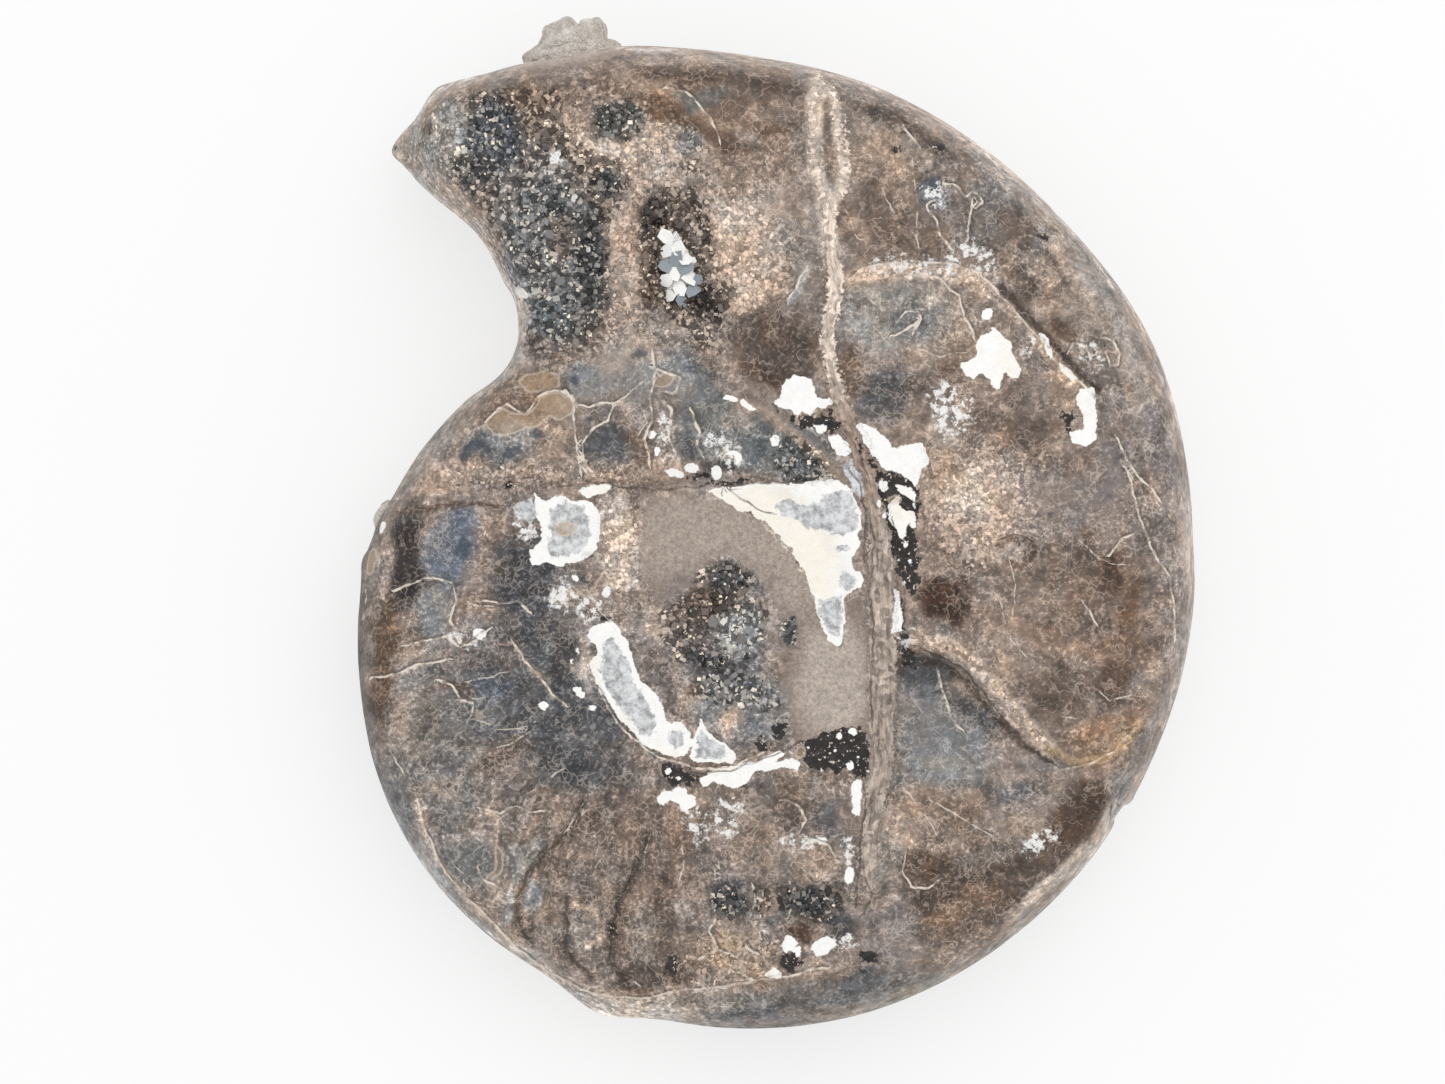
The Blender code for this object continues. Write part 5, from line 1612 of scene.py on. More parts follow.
@dataclass(frozen=True)
class DrusyCrystals:
    """The crust of small crystals in the hollows and on the mouth's filling."""

    coil: Coil
    face: FaceRelief
    tints: FaceTints = FaceTints()
    pale: Colour = (232, 217, 198)
    lift: float = 1.22
    seed: int = 7
    crusts: tuple[Crust, ...] = (
        Crust(
            DarkDruse(),
            (
                CrystalKind(0.5, 0.25, (0.2, 0.5)), CrystalKind(0.82, 0.24, (0.2, 0.48)),
                CrystalKind(1.45, 0.21, (0.18, 0.4)), CrystalKind(2.1, 0.18, (0.14, 0.34)),
                CrystalKind(2.9, 0.12, (0.12, 0.28)),
            ),
            5.8, 0.1, 0.2,
        ),
        Crust(
            TanGranules(),
            (
                CrystalKind(0.6, 0.18, (0.12, 0.28)), CrystalKind(0.88, 0.22, (0.13, 0.34)),
                CrystalKind(1.15, 0.34, (0.12, 0.32)), CrystalKind(1.7, 0.26, (0.1, 0.26)),
            ),
            2.8, 0.15, 0.4,
        ),
    )
    cube: tuple[tuple[float, float, float], ...] = (
        (-1, -1, -1), (1, -1, -1), (1, 1, -1), (-1, 1, -1), (-1, -1, 1), (1, -1, 1), (1, 1, 1), (-1, 1, 1),
    )
    sides: tuple[tuple[int, ...], ...] = (
        (0, 3, 2, 1), (4, 5, 6, 7), (0, 1, 5, 4), (1, 2, 6, 5), (2, 3, 7, 6), (3, 0, 4, 7),
    )

    def places(self, crust: Crust, dice: np.random.Generator) -> tuple[Array, Array]:
        """Points of the face, by chance, inside the crust's patches, and the pixels that show them."""
        edge, widths = self.coil.outline(1.0)
        low, high = edge.min(axis=0), edge.max(axis=0)
        count = int(crust.per_mm2 * np.prod(high - low))
        spots = dice.uniform(low, high, (count, 2))
        pixels = VIEW.pixels(np.column_stack([spots, np.full(count, 22.0)]))
        depth = crust.patches.distance(pixels) + 0.35 * smooth_noise(spots, 1.1, 8.0)
        kept = (depth > crust.margin) & (WhiteCalcite().distance(pixels) < -0.1)
        away = np.linalg.norm(spots[kept][:, None] - edge[None], axis=2)
        kept[kept] = loop_field(spots[kept], edge) > widths[away.argmin(axis=1)] + 0.3
        return spots[kept], pixels[kept]

    def build(self, material: Material) -> bpy.types.Object:
        """All the small crystals as one piece."""
        dice = np.random.default_rng(self.seed)
        cube, points, faces, colours = np.array(self.cube, dtype=float), [], [], []
        for crust in self.crusts:
            spots, pixels = self.places(crust, dice)
            heights, tints = self.face.at(spots), self.tints.colours(pixels, pixels)
            chosen = dice.choice(len(crust.kinds), len(spots), p=[kind.weight for kind in crust.kinds])
            for spot, height, tint, pick in zip(spots, heights, tints, chosen):
                kind = crust.kinds[pick]
                size = dice.uniform(*kind.sizes)
                shape = cube * dice.uniform(0.22, 1.0, 3) * size
                shape[:, 0] += 0.35 * shape[:, 2]
                turn = Matrix.Rotation(dice.uniform(0.0, 6.28), 3, dice.normal(size=3).tolist())
                start = len(points) * len(cube)
                points.append(shape @ np.array(turn) + (spot[0], spot[1], height - crust.sink * size))
                faces += [[start + corner for corner in side] for side in self.sides]
                tone = kind.tone * dice.uniform(0.88, 1.12)
                tint, pale = tint * self.lift, np.array(self.pale) - tint
                shade = tint * tone if tone < 1.0 else tint + pale * min(0.5 * (tone - 1.0), 1.0)
                colours.append(np.tile(shade, (len(cube), 1)))
        piece = new_piece("drusy_crystals", np.vstack(points), faces, material)
        piece.data.shade_flat()
        put_colours(piece.data, "tint", np.vstack(colours))
        hand_over(piece)
        return piece


@dataclass(frozen=True)
class Prism:
    """A calcite crystal with a sloping top: base, radius, lean and shade."""

    base: Point
    radius: float
    lean: Point
    shade: Colour


@dataclass(frozen=True)
class CalcitePrisms:
    """The larger calcite crystals that stand in the hollows."""

    white: ClassVar[Colour] = (240, 239, 236)
    slate: ClassVar[Colour] = (140, 148, 154)
    smoky: ClassVar[Colour] = (118, 115, 115)
    sides: int = 6
    foot: float = 19.6
    length: float = 2.5
    slope: float = 0.45
    uneven: float = 0.3
    seed: int = 3
    prisms: tuple[Prism, ...] = (
        Prism((-11.5, 30.4), 0.95, (-0.10, 0.10), white), Prism((-10.7, 29.4), 1.0, (0.10, 0.06), white),
        Prism((-11.6, 29.0), 0.8, (-0.05, 0.10), white), Prism((-9.9, 28.5), 0.7, (0.05, -0.06), white),
        Prism((-10.9, 28.1), 1.0, (0.04, 0.05), slate), Prism((-11.7, 27.5), 0.7, (-0.10, 0.02), slate),
        Prism((-10.0, 27.4), 0.85, (0.10, 0.00), slate), Prism((-9.3, 28.0), 0.5, (0.10, 0.05), white),
        Prism((-10.9, 26.7), 0.9, (-0.08, 0.04), white), Prism((-9.6, 26.2), 0.8, (0.10, 0.05), white),
        Prism((-11.6, 25.9), 0.75, (-0.12, 0.00), white), Prism((-10.4, 25.4), 0.95, (0.00, -0.08), white),
        Prism((-9.3, 25.1), 0.8, (0.10, -0.05), slate), Prism((-8.7, 26.0), 0.55, (0.12, 0.05), slate),
        Prism((-11.3, 24.7), 0.7, (-0.06, -0.10), white), Prism((-10.2, 24.2), 0.7, (0.00, -0.10), slate),
        Prism((-6.3, -10.6), 0.6, (-0.25, 0.10), smoky), Prism((-4.3, -11.9), 0.5, (0.20, -0.15), smoky),
        Prism((-24.6, 30.4), 0.6, (0.12, 0.25), smoky), Prism((-22.7, 26.4), 0.6, (-0.15, -0.18), smoky),
    )

    def build(self, material: Material) -> bpy.types.Object:
        """All the larger crystals as one piece."""
        dice = np.random.default_rng(self.seed)
        points, faces, colours = [], [], []
        angles = np.linspace(0.0, 2.0 * math.pi, self.sides, endpoint=False)
        for prism in self.prisms:
            start = len(points)
            top = start + self.sides
            reach = prism.radius * dice.uniform(1.0 - self.uneven, 1.0 + self.uneven, self.sides)
            ring = np.stack([np.cos(angles), np.sin(angles)], axis=1) * reach[:, None]
            tilt = ring @ turned(np.array([[self.slope, 0.0]]), dice.uniform(0.0, 360.0))[0]
            for height in (np.zeros(self.sides), self.length + tilt):
                lean = np.array(prism.lean) * height[:, None]
                points += np.column_stack([ring + lean + np.array(prism.base), self.foot + height]).tolist()
            for side in range(self.sides):
                after = (side + 1) % self.sides
                faces.append([start + side, start + after, top + after, top + side])
            faces.append([start + side for side in reversed(range(self.sides))])
            faces.append([top + side for side in range(self.sides)])
            colours += [prism.shade] * (2 * self.sides)
        piece = new_piece("calcite_prisms", np.array(points), faces, material)
        piece.data.shade_flat()
        put_colours(piece.data, "tint", np.array(colours, dtype=float))
        hand_over(piece)
        return piece


Value = Socket | float | tuple


class Bench:
    """Places shader nodes in one tree and joins them."""

    def __init__(self, tree: bpy.types.NodeTree) -> None:
        """Starts on a tree."""
        self.tree = tree

    def add(self, kind: str, inputs: dict | None = None, **settings: object) -> bpy.types.Node:
        """A new node.

        Args:
            kind: Blender's name of the node, without its first word.
            inputs: Values or sockets by input name or number.
            **settings: The node's own settings.

        Returns:
            The node.
        """
        node = self.tree.nodes.new("ShaderNode" + kind)
        for name, value in settings.items():
            setattr(node, name, value)
        for name, value in (inputs or {}).items():
            self.feed(node.inputs[name], value)
        return node

    def feed(self, socket: Socket, value: Value) -> None:
        """Joins a socket to another, or sets its value."""
        if isinstance(value, Socket):
            self.tree.links.new(value, socket)
        else:
            socket.default_value = value

    def math(self, operation: str, *values: Value) -> Socket:
        """The result of a sum on numbers."""
        return self.add("Math", dict(enumerate(values)), operation=operation).outputs[0]

    def times(self, first: Value, second: Value) -> Socket:
        """Two numbers multiplied."""
        return self.math("MULTIPLY", first, second)

    def plus(self, part: Value, weight: Value, base: Value) -> Socket:
        """A base with a weighted part added."""
        return self.math("MULTIPLY_ADD", part, weight, base)

    def centred(self, value: Value) -> Socket:
        """A value from 0 to 1, moved to lie about 0."""
        return self.math("SUBTRACT", value, 0.5)

    def scaled(self, vector: Value, factor: Value) -> Socket:
        """A vector times a number."""
        return self.add("VectorMath", {0: vector, 3: factor}, operation="SCALE").outputs[0]

    def vector(self, x: Value, y: Value, z: Value = 0.0) -> Socket:
        """A vector from three numbers."""
        return self.add("CombineXYZ", {0: x, 1: y, 2: z}).outputs[0]

    def step(self, value: Value, low: float, high: float) -> Socket:
        """0 below low, 1 above high, smooth between; low may be the larger."""
        inputs = {"Value": value, "From Min": low, "From Max": high}
        return self.add("MapRange", inputs, interpolation_type="SMOOTHSTEP").outputs["Result"]

    def spread(self, value: Value, low: float, high: float) -> Socket:
        """0 to 1 as a straight line from low to high."""
        return self.add("MapRange", {"Value": value, "To Min": low, "To Max": high}).outputs["Result"]

    def mix(self, share: Value, first: Value, second: Value, blend: str = "MIX") -> Socket:
        """Two colours mixed."""
        inputs = {0: share, 6: first, 7: second}
        return self.add("Mix", inputs, data_type="RGBA", blend_type=blend).outputs[2]

    def noise(
        self, place: Value, size: float, detail: float = 2.0, roughness: float = 0.5, curl: float = 0.0
    ) -> Socket:
        """Noise from 0 to 1.

        Args:
            place: Where it is read.
            size: Size of its features, in the place's own unit.
            detail: How many finer layers it has.
            roughness: How strong the finer layers are.
            curl: How far it curls.

        Returns:
            The noise.
        """
        inputs = {"Vector": place, "Scale": 1.0 / size, "Detail": detail, "Roughness": roughness}
        return self.add("TexNoise", {**inputs, "Distortion": curl}).outputs["Fac"]

    def attribute(self, name: str, output: str = "Fac") -> Socket:
        """A field of the mesh."""
        return self.add("Attribute", attribute_name=name).outputs[output]

    def tones(self, value: Value, *stops: tuple[float, float]) -> Socket:
        """Greys by value: each stop is a place from 0 to 1 and its grey."""
        ramp_node = self.add("ValToRGB", {0: value})
        marks = ramp_node.color_ramp.elements
        while len(marks) < len(stops):
            marks.new(0.5)
        for mark, (place, grey) in zip(marks, stops):
            mark.position = place
            mark.color = (grey, grey, grey, 1.0)
        return ramp_node.outputs["Color"]

    def place(self) -> Socket:
        """The point of the surface in millimetres."""
        return self.scaled(self.add("TexCoord").outputs["Object"], 1.0 / MM)


class Effect:
    """A shader node group with named inputs and outputs, built once."""

    def __init__(self, name: str, inputs: dict[str, float | None], outputs: dict[str, str]) -> None:
        """Makes the group's sockets.

        Args:
            name: Name of the group.
            inputs: Each input's first value, or None for a vector.
            outputs: Each output's kind, Float or Color.
        """
        self.tree = bpy.data.node_groups.new(name, "ShaderNodeTree")
        for label, value in inputs.items():
            kind = "NodeSocketVector" if value is None else "NodeSocketFloat"
            made = self.tree.interface.new_socket(label, in_out="INPUT", socket_type=kind)
            if value is not None:
                made.default_value = value
        for label, kind in outputs.items():
            self.tree.interface.new_socket(label, in_out="OUTPUT", socket_type="NodeSocket" + kind)
        self.bench = Bench(self.tree)
        self.inputs = self.tree.nodes.new("NodeGroupInput").outputs
        self.outputs = self.tree.nodes.new("NodeGroupOutput").inputs

    def place_in(self, bench: Bench, inputs: dict[str, Value]) -> bpy.types.NodeOutputs:
        """The group placed in a material, with its own values."""
        return bench.add("Group", inputs, node_tree=self.tree).outputs


def ragged_mask() -> Effect:
    """Turns the distance to a patch's edge into a mask with a ragged edge."""
    inputs = {"Distance": 0.0, "Jitter": 0.5, "Raggedness": 0.3, "Softness": 0.06}
    effect = Effect("Ragged mask", inputs, {"Mask": "Float"})
    bench, given = effect.bench, effect.inputs
    swing = bench.times(bench.centred(given["Jitter"]), given["Raggedness"])
    moved = bench.plus(swing, 4.0, given["Distance"])
    bench.feed(effect.outputs["Mask"], bench.step(bench.math("DIVIDE", moved, given["Softness"]), -1.0, 1.0))
    return effect


def mottle() -> Effect:
    """Uneven tone at one size and at a sixth of it, each about -1 to 1."""
    effect = Effect("Mottle", {"Place": None, "Size": 1.0}, {"Broad": "Float", "Fine": "Float"})
    bench, given = effect.bench, effect.inputs
    for output, factor, detail in (("Broad", 1.0, 2.0), ("Fine", 6.0, 3.0)):
        scale = bench.math("DIVIDE", factor, given["Size"])
        inputs = {"Vector": given["Place"], "Scale": scale, "Detail": detail, "Roughness": 0.6}
        fac = bench.add("TexNoise", inputs).outputs["Fac"]
        bench.feed(effect.outputs[output], bench.times(bench.centred(fac), 4.0))
    return effect


def grains() -> Effect:
    """Small crystals side by side: a tone for each, and how far from its border each point lies."""
    effect = Effect("Grains", {"Place": None, "Size": 0.6}, {"Tone": "Float", "Body": "Float"})
    bench, given = effect.bench, effect.inputs
    scale = bench.math("DIVIDE", 1.0, given["Size"])
    inputs = {"Vector": given["Place"], "Scale": scale}
    cells = bench.add("TexVoronoi", inputs)
    bench.feed(effect.outputs["Tone"], bench.add("SeparateColor", {0: cells.outputs["Color"]}).outputs[0])
    border = bench.add("TexVoronoi", inputs, feature="DISTANCE_TO_EDGE").outputs["Distance"]
    bench.feed(effect.outputs["Body"], bench.step(border, 0.0, 0.28))
    return effect


def hairlines() -> Effect:
    """Fine curving slivers: level lines of a noise, kept only here and there."""
    inputs = {"Place": None, "Size": 4.0, "Width": 0.02, "Cover": 0.5}
    effect = Effect("Hairlines", inputs, {"Mask": "Float"})
    bench, given = effect.bench, effect.inputs
    scale = bench.math("DIVIDE", 1.0, given["Size"])
    curve = {"Vector": given["Place"], "Scale": scale, "Detail": 2.0, "Roughness": 0.6}
    fac = bench.add("TexNoise", curve).outputs["Fac"]
    away = bench.math("ABSOLUTE", bench.centred(fac))
    line = bench.step(bench.math("DIVIDE", away, given["Width"]), 1.0, 0.4)
    elsewhere = bench.add("VectorMath", {0: given["Place"], 1: (31.0, 17.0, 5.0)}, operation="ADD").outputs[0]
    gaps = bench.add("TexNoise", {"Vector": elsewhere, "Scale": bench.times(scale, 2.4), "Detail": 2.0})
    kept = bench.step(bench.math("SUBTRACT", gaps.outputs["Fac"], given["Cover"]), -0.02, 0.03)
    bench.feed(effect.outputs["Mask"], bench.times(line, kept))
    return effect


def flakes() -> Effect:
    """Broken flakes of shell: a tone for each, about 0, and the light rims between some of them."""
    effect = Effect("Flakes", {"Place": None, "Size": 1.5}, {"Tone": "Float", "Rim": "Float"})
    bench, given = effect.bench, effect.inputs
    scale = bench.math("DIVIDE", 1.0, given["Size"])
    swirl = bench.add("TexNoise", {"Vector": given["Place"], "Scale": scale, "Detail": 2.0, "Roughness": 0.6})
    away = bench.add("VectorMath", {0: swirl.outputs["Color"], 1: (0.5, 0.5, 0.5)}, operation="SUBTRACT")
    bend = bench.scaled(away.outputs[0], bench.times(given["Size"], 3.0))
    bent = bench.add("VectorMath", {0: given["Place"], 1: bend}, operation="ADD").outputs[0]
    inputs = {"Vector": bent, "Scale": scale}
    cells = bench.add("TexVoronoi", inputs)
    tone = bench.add("SeparateColor", {0: cells.outputs["Color"]}).outputs[0]
    bench.feed(effect.outputs["Tone"], bench.centred(tone))
    border = bench.add("TexVoronoi", inputs, feature="DISTANCE_TO_EDGE").outputs["Distance"]
    rim = bench.times(bench.step(border, 0.06, 0.015), bench.step(swirl.outputs["Fac"], 0.46, 0.56))
    bench.feed(effect.outputs["Rim"], rim)
    return effect


@dataclass(frozen=True)
class Effects:
    """The node groups that the finishes share."""

    ragged: Effect
    mottle: Effect
    grains: Effect
    flakes: Effect
    hairlines: Effect


def new_material(name: str) -> tuple[Material, Bench, bpy.types.Node]:
    """A material with its bench and its shader."""
    material = bpy.data.materials.new(name)
    material.use_nodes = True
    return material, Bench(material.node_tree), material.node_tree.nodes["Principled BSDF"]


@dataclass(frozen=True)
class PolishedStone:
    """The fossil's own finish: polished shell with its calcite, matrix, crystals and cracks."""

    roughness: float = 0.42
    specular: float = 0.3
    bump_depth: float = 0.00022
    cream: Colour = (222, 206, 190)
    pale: Colour = (232, 220, 206)
    white: Colour = (252, 251, 249)
    ivory: Colour = (250, 243, 232)
    grey: Colour = (206, 207, 208)
    ochre: Colour = (178, 152, 124)
    navy: Colour = (56, 64, 76)
    # The brown of open cracks, also used for painted shadow beside the cream seams and painted shade in the
    # rib grooves.
    black: Colour = (54, 49, 47)
    crack_and_shadow_brown: Colour = (78, 68, 61)
    vein_pale: Colour = (220, 203, 189)
    vein_brown: Colour = (158, 139, 126)
    vein_grey: Colour = (168, 154, 143)
    jitter_size: float = 0.75
    speck_size: float = 0.42
    patch_size: float = 0.9
    wide_size: float = 6.5
    small_size: float = 0.95
    grain_size: float = 0.55
    flake_size: float = 2.4
    warmth_size: float = 3.5
    seam_half: float = 0.16
    hair_half: float = 0.1
    crack_half: float = 0.13
    shadow_offset: float = 0.26
    cuts: tuple[tuple[Layer, float, float], ...] = (
        (Layer.WHITE, 0.2, 0.05), (Layer.IVORY, 1.6, 1.6), (Layer.CALCITE, 0.4, 0.14),
        (Layer.BLACK, 0.6, 0.14), (Layer.MOTTLE, 0.9, 0.4), (Layer.DRUSE, 0.9, 0.3),
        (Layer.GRANULAR, 1.1, 0.4), (Layer.MATRIX, 0.25, 0.1), (Layer.SLATE, 0.8, 0.5),
        (Layer.OCHRE, 0.35, 0.25), (Layer.NAVY, 0.4, 0.3),
    )

    def masks(self, bench: Bench, effects: Effects, jitter: Value) -> dict[Layer, Socket]:
        """The mask of each layer, cut by its raggedness and softness."""
        made = {}
        for layer, raggedness, softness in self.cuts:
            inputs = {"Distance": bench.attribute(layer.value), "Jitter": jitter}
            values = {"Raggedness": raggedness, "Softness": softness}
            made[layer] = effects.ragged.place_in(bench, {**inputs, **values})["Mask"]
        return made

    def stroke(self, bench: Bench, stroke: Stroke, half_width: float, jitter: Value) -> Socket:
        """The mask of one kind of line."""
        across = bench.math("ABSOLUTE", bench.attribute(stroke.value))
        uneven = bench.plus(bench.centred(jitter), 1.6 * half_width, across)
        line = bench.step(uneven, half_width, 0.35 * half_width)
        near = bench.step(bench.attribute(stroke.value + "_near"), 0.42, 0.3)
        return bench.times(line, near)

    def ribbed(self, bench: Bench) -> Socket:
        """Where the ribs show, at the lower left."""
        growth = bench.attribute("growth")
        return bench.times(bench.step(growth, 130.0, 160.0), bench.step(growth, 285.0, 255.0))

    def shell_tone(self, bench: Bench, place: Value, parts: tuple[tuple[Value, float], ...]) -> Socket:
        """How light the shell is from place to place: its parts, and streaks along and across its growth.

        Args:
            bench: The material's bench.
            place: The point of the surface.
            parts: Uneven tones about 0, each with its depth.

        Returns:
            A factor about 1.
        """
        marble = bench.centred(bench.noise(place, 5.0, 3.0, 0.62, 1.6))
        stops = bench.times(marble, 2.6)
        finer = bench.centred(bench.noise(place, 1.1, 3.0, 0.6))
        stops = bench.plus(finer, 2.5, stops)
        for part, depth in parts:
            stops = bench.plus(part, depth, stops)
        growth, spiral = bench.attribute("growth"), bench.attribute("spiral")
        by_ribs = bench.spread(self.ribbed(bench), 0.3, 1.0)
        for pitch, sweep, share, depth in (
            (0.9, 0.14, by_ribs, 2.0), (0.24, 0.14, by_ribs, 1.5),
            (0.06, 1.5, bench.step(bench.attribute("rim"), 3.4, 1.0), 1.6),
        ):
            run = bench.vector(bench.times(growth, pitch), bench.times(spiral, sweep))
            streak = bench.centred(bench.noise(run, 1.0, 3.0, 0.62))
            stops = bench.plus(bench.times(streak, share), depth, stops)
        return bench.math("POWER", 2.0, stops)

    def vein_paint(self, bench: Bench, grain_tone: Value, fibres: Value) -> Socket:
        """The colour of the healed crack, pale at the top and greyer further down."""
        along = bench.attribute("vein_along")
        colour = bench.mix(bench.step(along, 17.0, 24.0), linear(self.vein_pale), linear(self.vein_brown))
        colour = bench.mix(bench.step(along, 30.0, 36.0), colour, linear(self.vein_grey))
        tone = bench.times(bench.tones(fibres, (0.34, 0.2), (0.47, 0.46), (0.64, 0.74)), 2.0)
        return bench.scaled(bench.scaled(colour, tone), bench.spread(grain_tone, 0.62, 1.38))

    def material(self, effects: Effects) -> Material:
        """The finish as a material."""
        material, bench, shader = new_material("polished_fossil")
        place = bench.place()
        jitter = bench.noise(place, self.jitter_size, 3.0, 0.62)
        speck = bench.noise(place, self.speck_size, 2.0, 0.6)
        patchy = bench.noise(place, self.patch_size, 4.0, 0.7)
        wide = effects.mottle.place_in(bench, {"Place": place, "Size": self.wide_size})
        small = effects.mottle.place_in(bench, {"Place": place, "Size": self.small_size})
        grain = effects.grains.place_in(bench, {"Place": place, "Size": self.grain_size})
        flake = effects.flakes.place_in(bench, {"Place": place, "Size": self.flake_size})
        thread_values = {"Place": place, "Size": 3.4, "Width": 0.012, "Cover": 0.52}
        threads = effects.hairlines.place_in(bench, thread_values)
        shadow_values = {"Place": place, "Size": 1.9, "Width": 0.03, "Cover": 0.5}
        shadows = effects.hairlines.place_in(bench, shadow_values)
        busy = bench.step(bench.noise(place, 6.0, 3.0, 0.6), 0.42, 0.6)
        busy = bench.spread(bench.math("MAXIMUM", busy, bench.times(self.ribbed(bench), 0.8)), 0.45, 1.0)
        mask = self.masks(bench, effects, jitter)
        at_rim = bench.step(bench.attribute("rim"), 3.0, 1.0)

        tone = self.shell_tone(bench, place, (
            (wide["Broad"], 0.2), (wide["Fine"], 0.18), (small["Broad"], 0.16),
            (bench.times(small["Fine"], busy), 0.55), (bench.times(flake["Tone"], busy), 0.8),
            (bench.times(bench.centred(speck), busy), 1.5),
        ))
        sugar = bench.tones(grain["Tone"], (0.0, 0.24), (0.3, 0.4), (0.6, 0.58), (1.0, 0.96))
        sugar = bench.times(bench.times(sugar, 2.0), bench.spread(grain["Body"], 0.7, 1.08))
        sparkle = bench.tones(grain["Tone"], (0.0, 0.1), (0.4, 0.34), (0.7, 0.72), (1.0, 1.0))
        sparkle = bench.times(bench.times(sparkle, 2.1), bench.spread(grain["Body"], 0.6, 1.1))
        sandy = bench.plus(small["Fine"], 0.24, bench.plus(wide["Fine"], 0.08, 1.0))
        sandy = bench.times(sandy, bench.spread(speck, 0.38, 1.7))
        calm = bench.plus(small["Fine"], 0.2, bench.plus(wide["Fine"], 0.26, 1.0))
        for layer, shade, share in (
            (Layer.SLATE, calm, 0.7), (Layer.GRANULAR, sugar, 0.8), (Layer.DRUSE, sparkle, 0.9),
            (Layer.MATRIX, sandy, 1.0),
        ):
            tone = bench.mix(bench.times(mask[layer], share), tone, shade)
        colour = bench.scaled(bench.attribute("tint", "Color"), tone)
        polished = bench.math("SUBTRACT", 1.0, mask[Layer.MATRIX])
        shift = bench.step(bench.noise(place, self.warmth_size, 3.0), 0.38, 0.62)
        warmth = bench.mix(shift, (1.05, 1.0, 0.95, 1.0), (0.95, 1.0, 1.06, 1.0))
        colour = bench.mix(polished, colour, bench.mix(1.0, colour, warmth, "MULTIPLY"))

        polished = bench.times(polished, bench.math("SUBTRACT", 1.0, mask[Layer.DRUSE]))
        polished = bench.times(polished, bench.spread(at_rim, 1.0, 0.3))
        lighter = bench.mix(0.12, bench.scaled(colour, 1.7), linear(self.cream))
        thread = bench.mix(0.35, bench.scaled(colour, 1.7), linear(self.cream))
        # Painted shade: pits and the shadow slivers are darkened to half their colour.
        painted_shade = bench.scaled(colour, 0.5)
        for marked, share, paint in (
            (bench.times(bench.step(speck, 0.4, 0.34), busy), 0.6, painted_shade),
            (bench.times(shadows["Mask"], busy), 0.6, painted_shade), (flake["Rim"], 0.7, thread),
            (bench.times(bench.step(speck, 0.57, 0.62), busy), 0.9, lighter), (threads["Mask"], 0.5, thread),
        ):
            weight = bench.times(bench.times(marked, polished), share)
            colour = bench.mix(weight, colour, paint)

        colour = bench.mix(bench.times(mask[Layer.NAVY], 0.75), colour, linear(self.navy))

        vein_inputs = {"Distance": bench.attribute("vein"), "Jitter": speck}
        vein_values = {"Raggedness": 0.5, "Softness": 0.14}
        vein = effects.ragged.place_in(bench, {**vein_inputs, **vein_values})["Mask"]
        fibres_place = bench.vector(
            bench.times(bench.attribute("vein_across"), 1.9),
            bench.times(bench.attribute("vein_along"), 0.3),
        )
        fibres = bench.noise(fibres_place, 1.0, 5.0, 0.7)
        colour = bench.mix(vein, colour, self.vein_paint(bench, grain["Tone"], fibres))

        black_tone = bench.tones(grain["Tone"], (0.0, 0.4), (0.72, 0.7), (0.86, 1.0))
        black_specks = bench.step(speck, 0.62, 0.68)
        black = bench.mix(black_specks, bench.scaled(linear(self.black)[:3], black_tone), linear(self.cream))
        colour = bench.mix(mask[Layer.BLACK], colour, black)

        chalk = bench.mix(mask[Layer.IVORY], linear(self.white), linear(self.ivory))
        chalk = bench.scaled(chalk, bench.plus(small["Broad"], 0.04, 0.97))
        broken = bench.step(patchy, 0.47, 0.57)
        spread = bench.times(bench.times(mask[Layer.MOTTLE], broken), 0.85)
        colour = bench.mix(spread, colour, chalk)
        colour = bench.mix(mask[Layer.WHITE], colour, chalk)
        cloud = bench.tones(patchy, (0.36, 0.5), (0.47, 0.84), (0.6, 1.2))
        calcite = bench.scaled(linear(self.grey)[:3], cloud)
        colour = bench.mix(mask[Layer.CALCITE], colour, calcite)
        ochre_edge = bench.step(bench.math("ABSOLUTE", bench.attribute("ochre")), 0.18, 0.05)
        stain = bench.scaled(linear(self.ochre)[:3], bench.spread(tone, 0.3, 1.0))
        for weight, share, paint in ((mask[Layer.OCHRE], 0.55, stain), (ochre_edge, 0.4, linear(self.cream))):
            colour = bench.mix(bench.times(weight, share), colour, paint)

        worn = bench.step(bench.noise(place, 1.2, 3.0, 0.66), 0.42, 0.56)
        seam = self.stroke(bench, Stroke.SEAM, self.seam_half, jitter)
        hair = self.stroke(bench, Stroke.HAIRLINE, self.hair_half, jitter)
        # Open cracks, and painted shade in the rib grooves and along the foot of the right-hand ledge.
        crack = self.stroke(bench, Stroke.CRACK, self.crack_half, jitter)
        side = bench.math("ABSOLUTE", bench.math("SUBTRACT", bench.attribute("seam"), self.shadow_offset))
        shade = bench.times(bench.step(side, 0.2, 0.05), bench.step(bench.attribute("seam_near"), 0.8, 0.5))
        for line, first, last, paint in (
            (shade, 0.1, 0.6, self.crack_and_shadow_brown), (seam, 0.2, 0.9, self.pale),
            (hair, 0.05, 0.65, self.pale), (crack, 0.2, 0.7, self.crack_and_shadow_brown),
        ):
            colour = bench.mix(bench.times(line, bench.spread(worn, first, last)), colour, linear(paint))
        bench.feed(shader.inputs["Base Color"], colour)

        rough = bench.plus(small["Broad"], 0.06, self.roughness)
        for layer, amount in (
            (Layer.GRANULAR, 0.12), (Layer.MATRIX, 0.34), (Layer.BLACK, -0.18), (Layer.SLATE, -0.06),
        ):
            rough = bench.plus(mask[layer], amount, rough)
        rough = bench.plus(at_rim, 0.16, rough)
        bench.feed(shader.inputs["Roughness"], rough)

